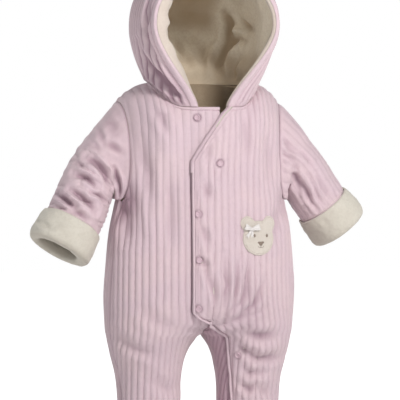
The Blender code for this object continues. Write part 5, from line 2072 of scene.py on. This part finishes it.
def sewnLine(name, rows, acrosses):  # a line over a panel's outer sheet
    across, rowLevels, outer, facing = surfaces[name]
    line = []
    for row, at in zip(rows, acrosses):
        i = int(np.clip(np.searchsorted(rowLevels, row) - 1, 0, len(rowLevels) - 2))
        share = (row - rowLevels[i]) / (rowLevels[i + 1] - rowLevels[i])
        threads = [outer[k] + facing[k] * sleeveLook["threadOut"] for k in (i, i + 1)]
        line.append(mix(*[atKeys(at, across[i + k], threads[k]) for k in (0, 1)], share))
    return np.array(line)


def levelLine(name, level, start, end):  # a sewn line at one level
    stops = np.arange(start, end, stitchCut["step"])
    return sewnLine(name, np.full(len(stops), level), stops)


def makeStitches():
    rows = np.arange(cut["hem"] + 4.0, top - 3.0, 1.5)
    overlapLine = sewnLine("front_left", rows, [boundEdge(row) + stitchCut["overlapInset"] for row in rows])
    level = top - stitchCut["neckInset"]
    neckLine = levelLine("front_right", level, underlapStart(level) + 1.0, acrossAt(1, level, stitchCut["neckEnd"]))
    sewLines("PlacketStitches", [overlapLine, neckLine], pinkThread, "velour")
    rises = np.linspace(0.012, 0.988, 150)
    bandLines = []
    for name in ("hood_right", "hood_left"):
        for inset in stitchCut["bandLines"]:
            start = hoodCut["band"] + cut["gap"] + inset
            bandLines.append(sewnLine(name, rises, np.full(len(rises), start)))
    sewLines("HoodBandStitches", bandLines, pinkThread, "velour")
    sewLines("CuffStitches", [surfaces["cuffLine" + name] for name in sleeveCut], creamThread, "fleece")
    hemLines = []
    for name in panels:
        across = surfaces[name][0][0]
        hemLines.append(levelLine(name, cut["hem"] + stitchCut["hemLine"], across[0] + 2.0, across[-1] - 2.0))
    sewLines("LegHemStitches", hemLines, pinkThread, "velour")
    outline = bearOutline(np.arange(181) / 180 * 2 * np.pi) * bearCut["stitchInset"]
    edge = onFront(outline, bearTop(outline) - 0.35)
    sewLines("BearEdgeStitches", [edge], creamThread, "fleece", **stitchCut["bearEdge"])
    mouth = [onFront(line, bearTop(line) + 0.2) for line in (bearCut["mouth"], bearCut["smile"])]
    sewLines("BearMouth", mouth, taupeThread, "fleece", **stitchCut["mouth"])


makeStitches()
print("stitches sewn")

view = {
    "azimuth": -13.0,
    "elevation": 1.0,
    "away": 3200.0,
    "across": 520.0,
    "middleX": 1.95,
    "middleZ": -135.2,
    "film": 36.0,
    "sees": 50.0,  # metres
}


def makeCamera():
    turn, lift = math.radians(view["azimuth"]), math.radians(view["elevation"])
    back = np.array((math.sin(turn) * math.cos(lift), -math.cos(turn) * math.cos(lift), math.sin(lift)))
    right = np.array((math.cos(turn), math.sin(turn), 0.0))
    aim = right * view["middleX"] + np.array((0.0, 0.0, view["middleZ"]))
    data = bpy.data.cameras.new("camera")
    data.sensor_width = view["film"]
    data.lens = view["film"] * view["away"] / view["across"]
    data.clip_end = view["sees"]
    made = linked("camera", data)
    made.location = Vector((aim + back * view["away"]) * mm)
    made.rotation_euler = Vector(-back).to_track_quat("-Z", "Y").to_euler()
    bpy.context.scene.camera = made


def makeLight(name, place, aim, size, power, colour=(1.0, 1.0, 1.0)):
    data = bpy.data.lights.new(name, "AREA")
    data.size = size
    data.energy = power
    data.color = colour
    made = linked(name, data)
    made.location = place
    made.rotation_euler = (Vector(aim) - Vector(place)).to_track_quat("-Z", "Y").to_euler()


floorLook = {"height": -0.5065, "half": 6.0, "glow": 0.8, "dim": 0.2, "dimTo": (0.85, 1.3)}  # metres


def makeFloor():
    half, low = floorLook["half"], floorLook["height"]
    data = bpy.data.meshes.new("floor")
    corners = [(-half, -half, low), (half, -half, low), (half, half, low), (-half, half, low)]
    data.from_pydata(corners, [], [(0, 1, 2, 3)])
    finish = Finish("pale floor", Emission_Strength=floorLook["glow"])
    grain = finish.noise(finish.place(), 3.0, 2.0, 0.5)
    away = finish.node("VectorMath", {"operation": "LENGTH"}, {0: finish.place()}, "Value")
    beneath = (floorLook["dim"],) * 3  # it is dim beneath the suit
    glow = finish.blend(away.spread(*floorLook["dimTo"]), beneath, (1.0, 1.0, 1.0))
    finish.feed(finish.shader.inputs["Emission Color"], glow)
    pale = finish.blend(grain, (0.83, 0.83, 0.83), (0.85, 0.85, 0.85))
    data.materials.append(finish.finishWith(pale, 0.9))
    linked("Floor", data)


lights = {  # place, aim, size, power, and a colour where it isn't white
    "keyLight": ((0.7, -2.2, 1.25), (0.0, 0.0, -0.15), 0.5, 46.0, (1.0, 0.985, 0.97)),
    "sideLight": ((2.4, -0.6, 0.6), (0.0, 0.0, -0.2), 1.0, 2.0),
    "fillLight": ((-1.2, -2.2, 0.9), (0.0, 0.0, -0.1), 1.2, 8.0),
    "backLight": ((-0.6, 2.6, 1.4), (0.0, 0.0, -0.1), 1.4, 17.0),
}
makeCamera()
for name, settings in lights.items():
    makeLight(name, *settings)
makeFloor()
world = bpy.data.worlds.new("studio")
bpy.context.scene.world = world
world.use_nodes = True
studioLight = {"seen": 1.0, "cast": 0.24}
background = world.node_tree.nodes["Background"]
background.inputs["Color"].default_value = (1.0, 1.0, 1.0, 1.0)
seen = world.node_tree.nodes.new("ShaderNodeLightPath")
strength = world.node_tree.nodes.new("ShaderNodeMapRange")
strength.inputs["To Min"].default_value = studioLight["cast"]
strength.inputs["To Max"].default_value = studioLight["seen"]
world.node_tree.links.new(seen.outputs["Is Camera Ray"], strength.inputs["Value"])
world.node_tree.links.new(strength.outputs["Result"], background.inputs["Strength"])
bpy.context.scene.view_settings.view_transform = "Standard"
print("camera and light ready")
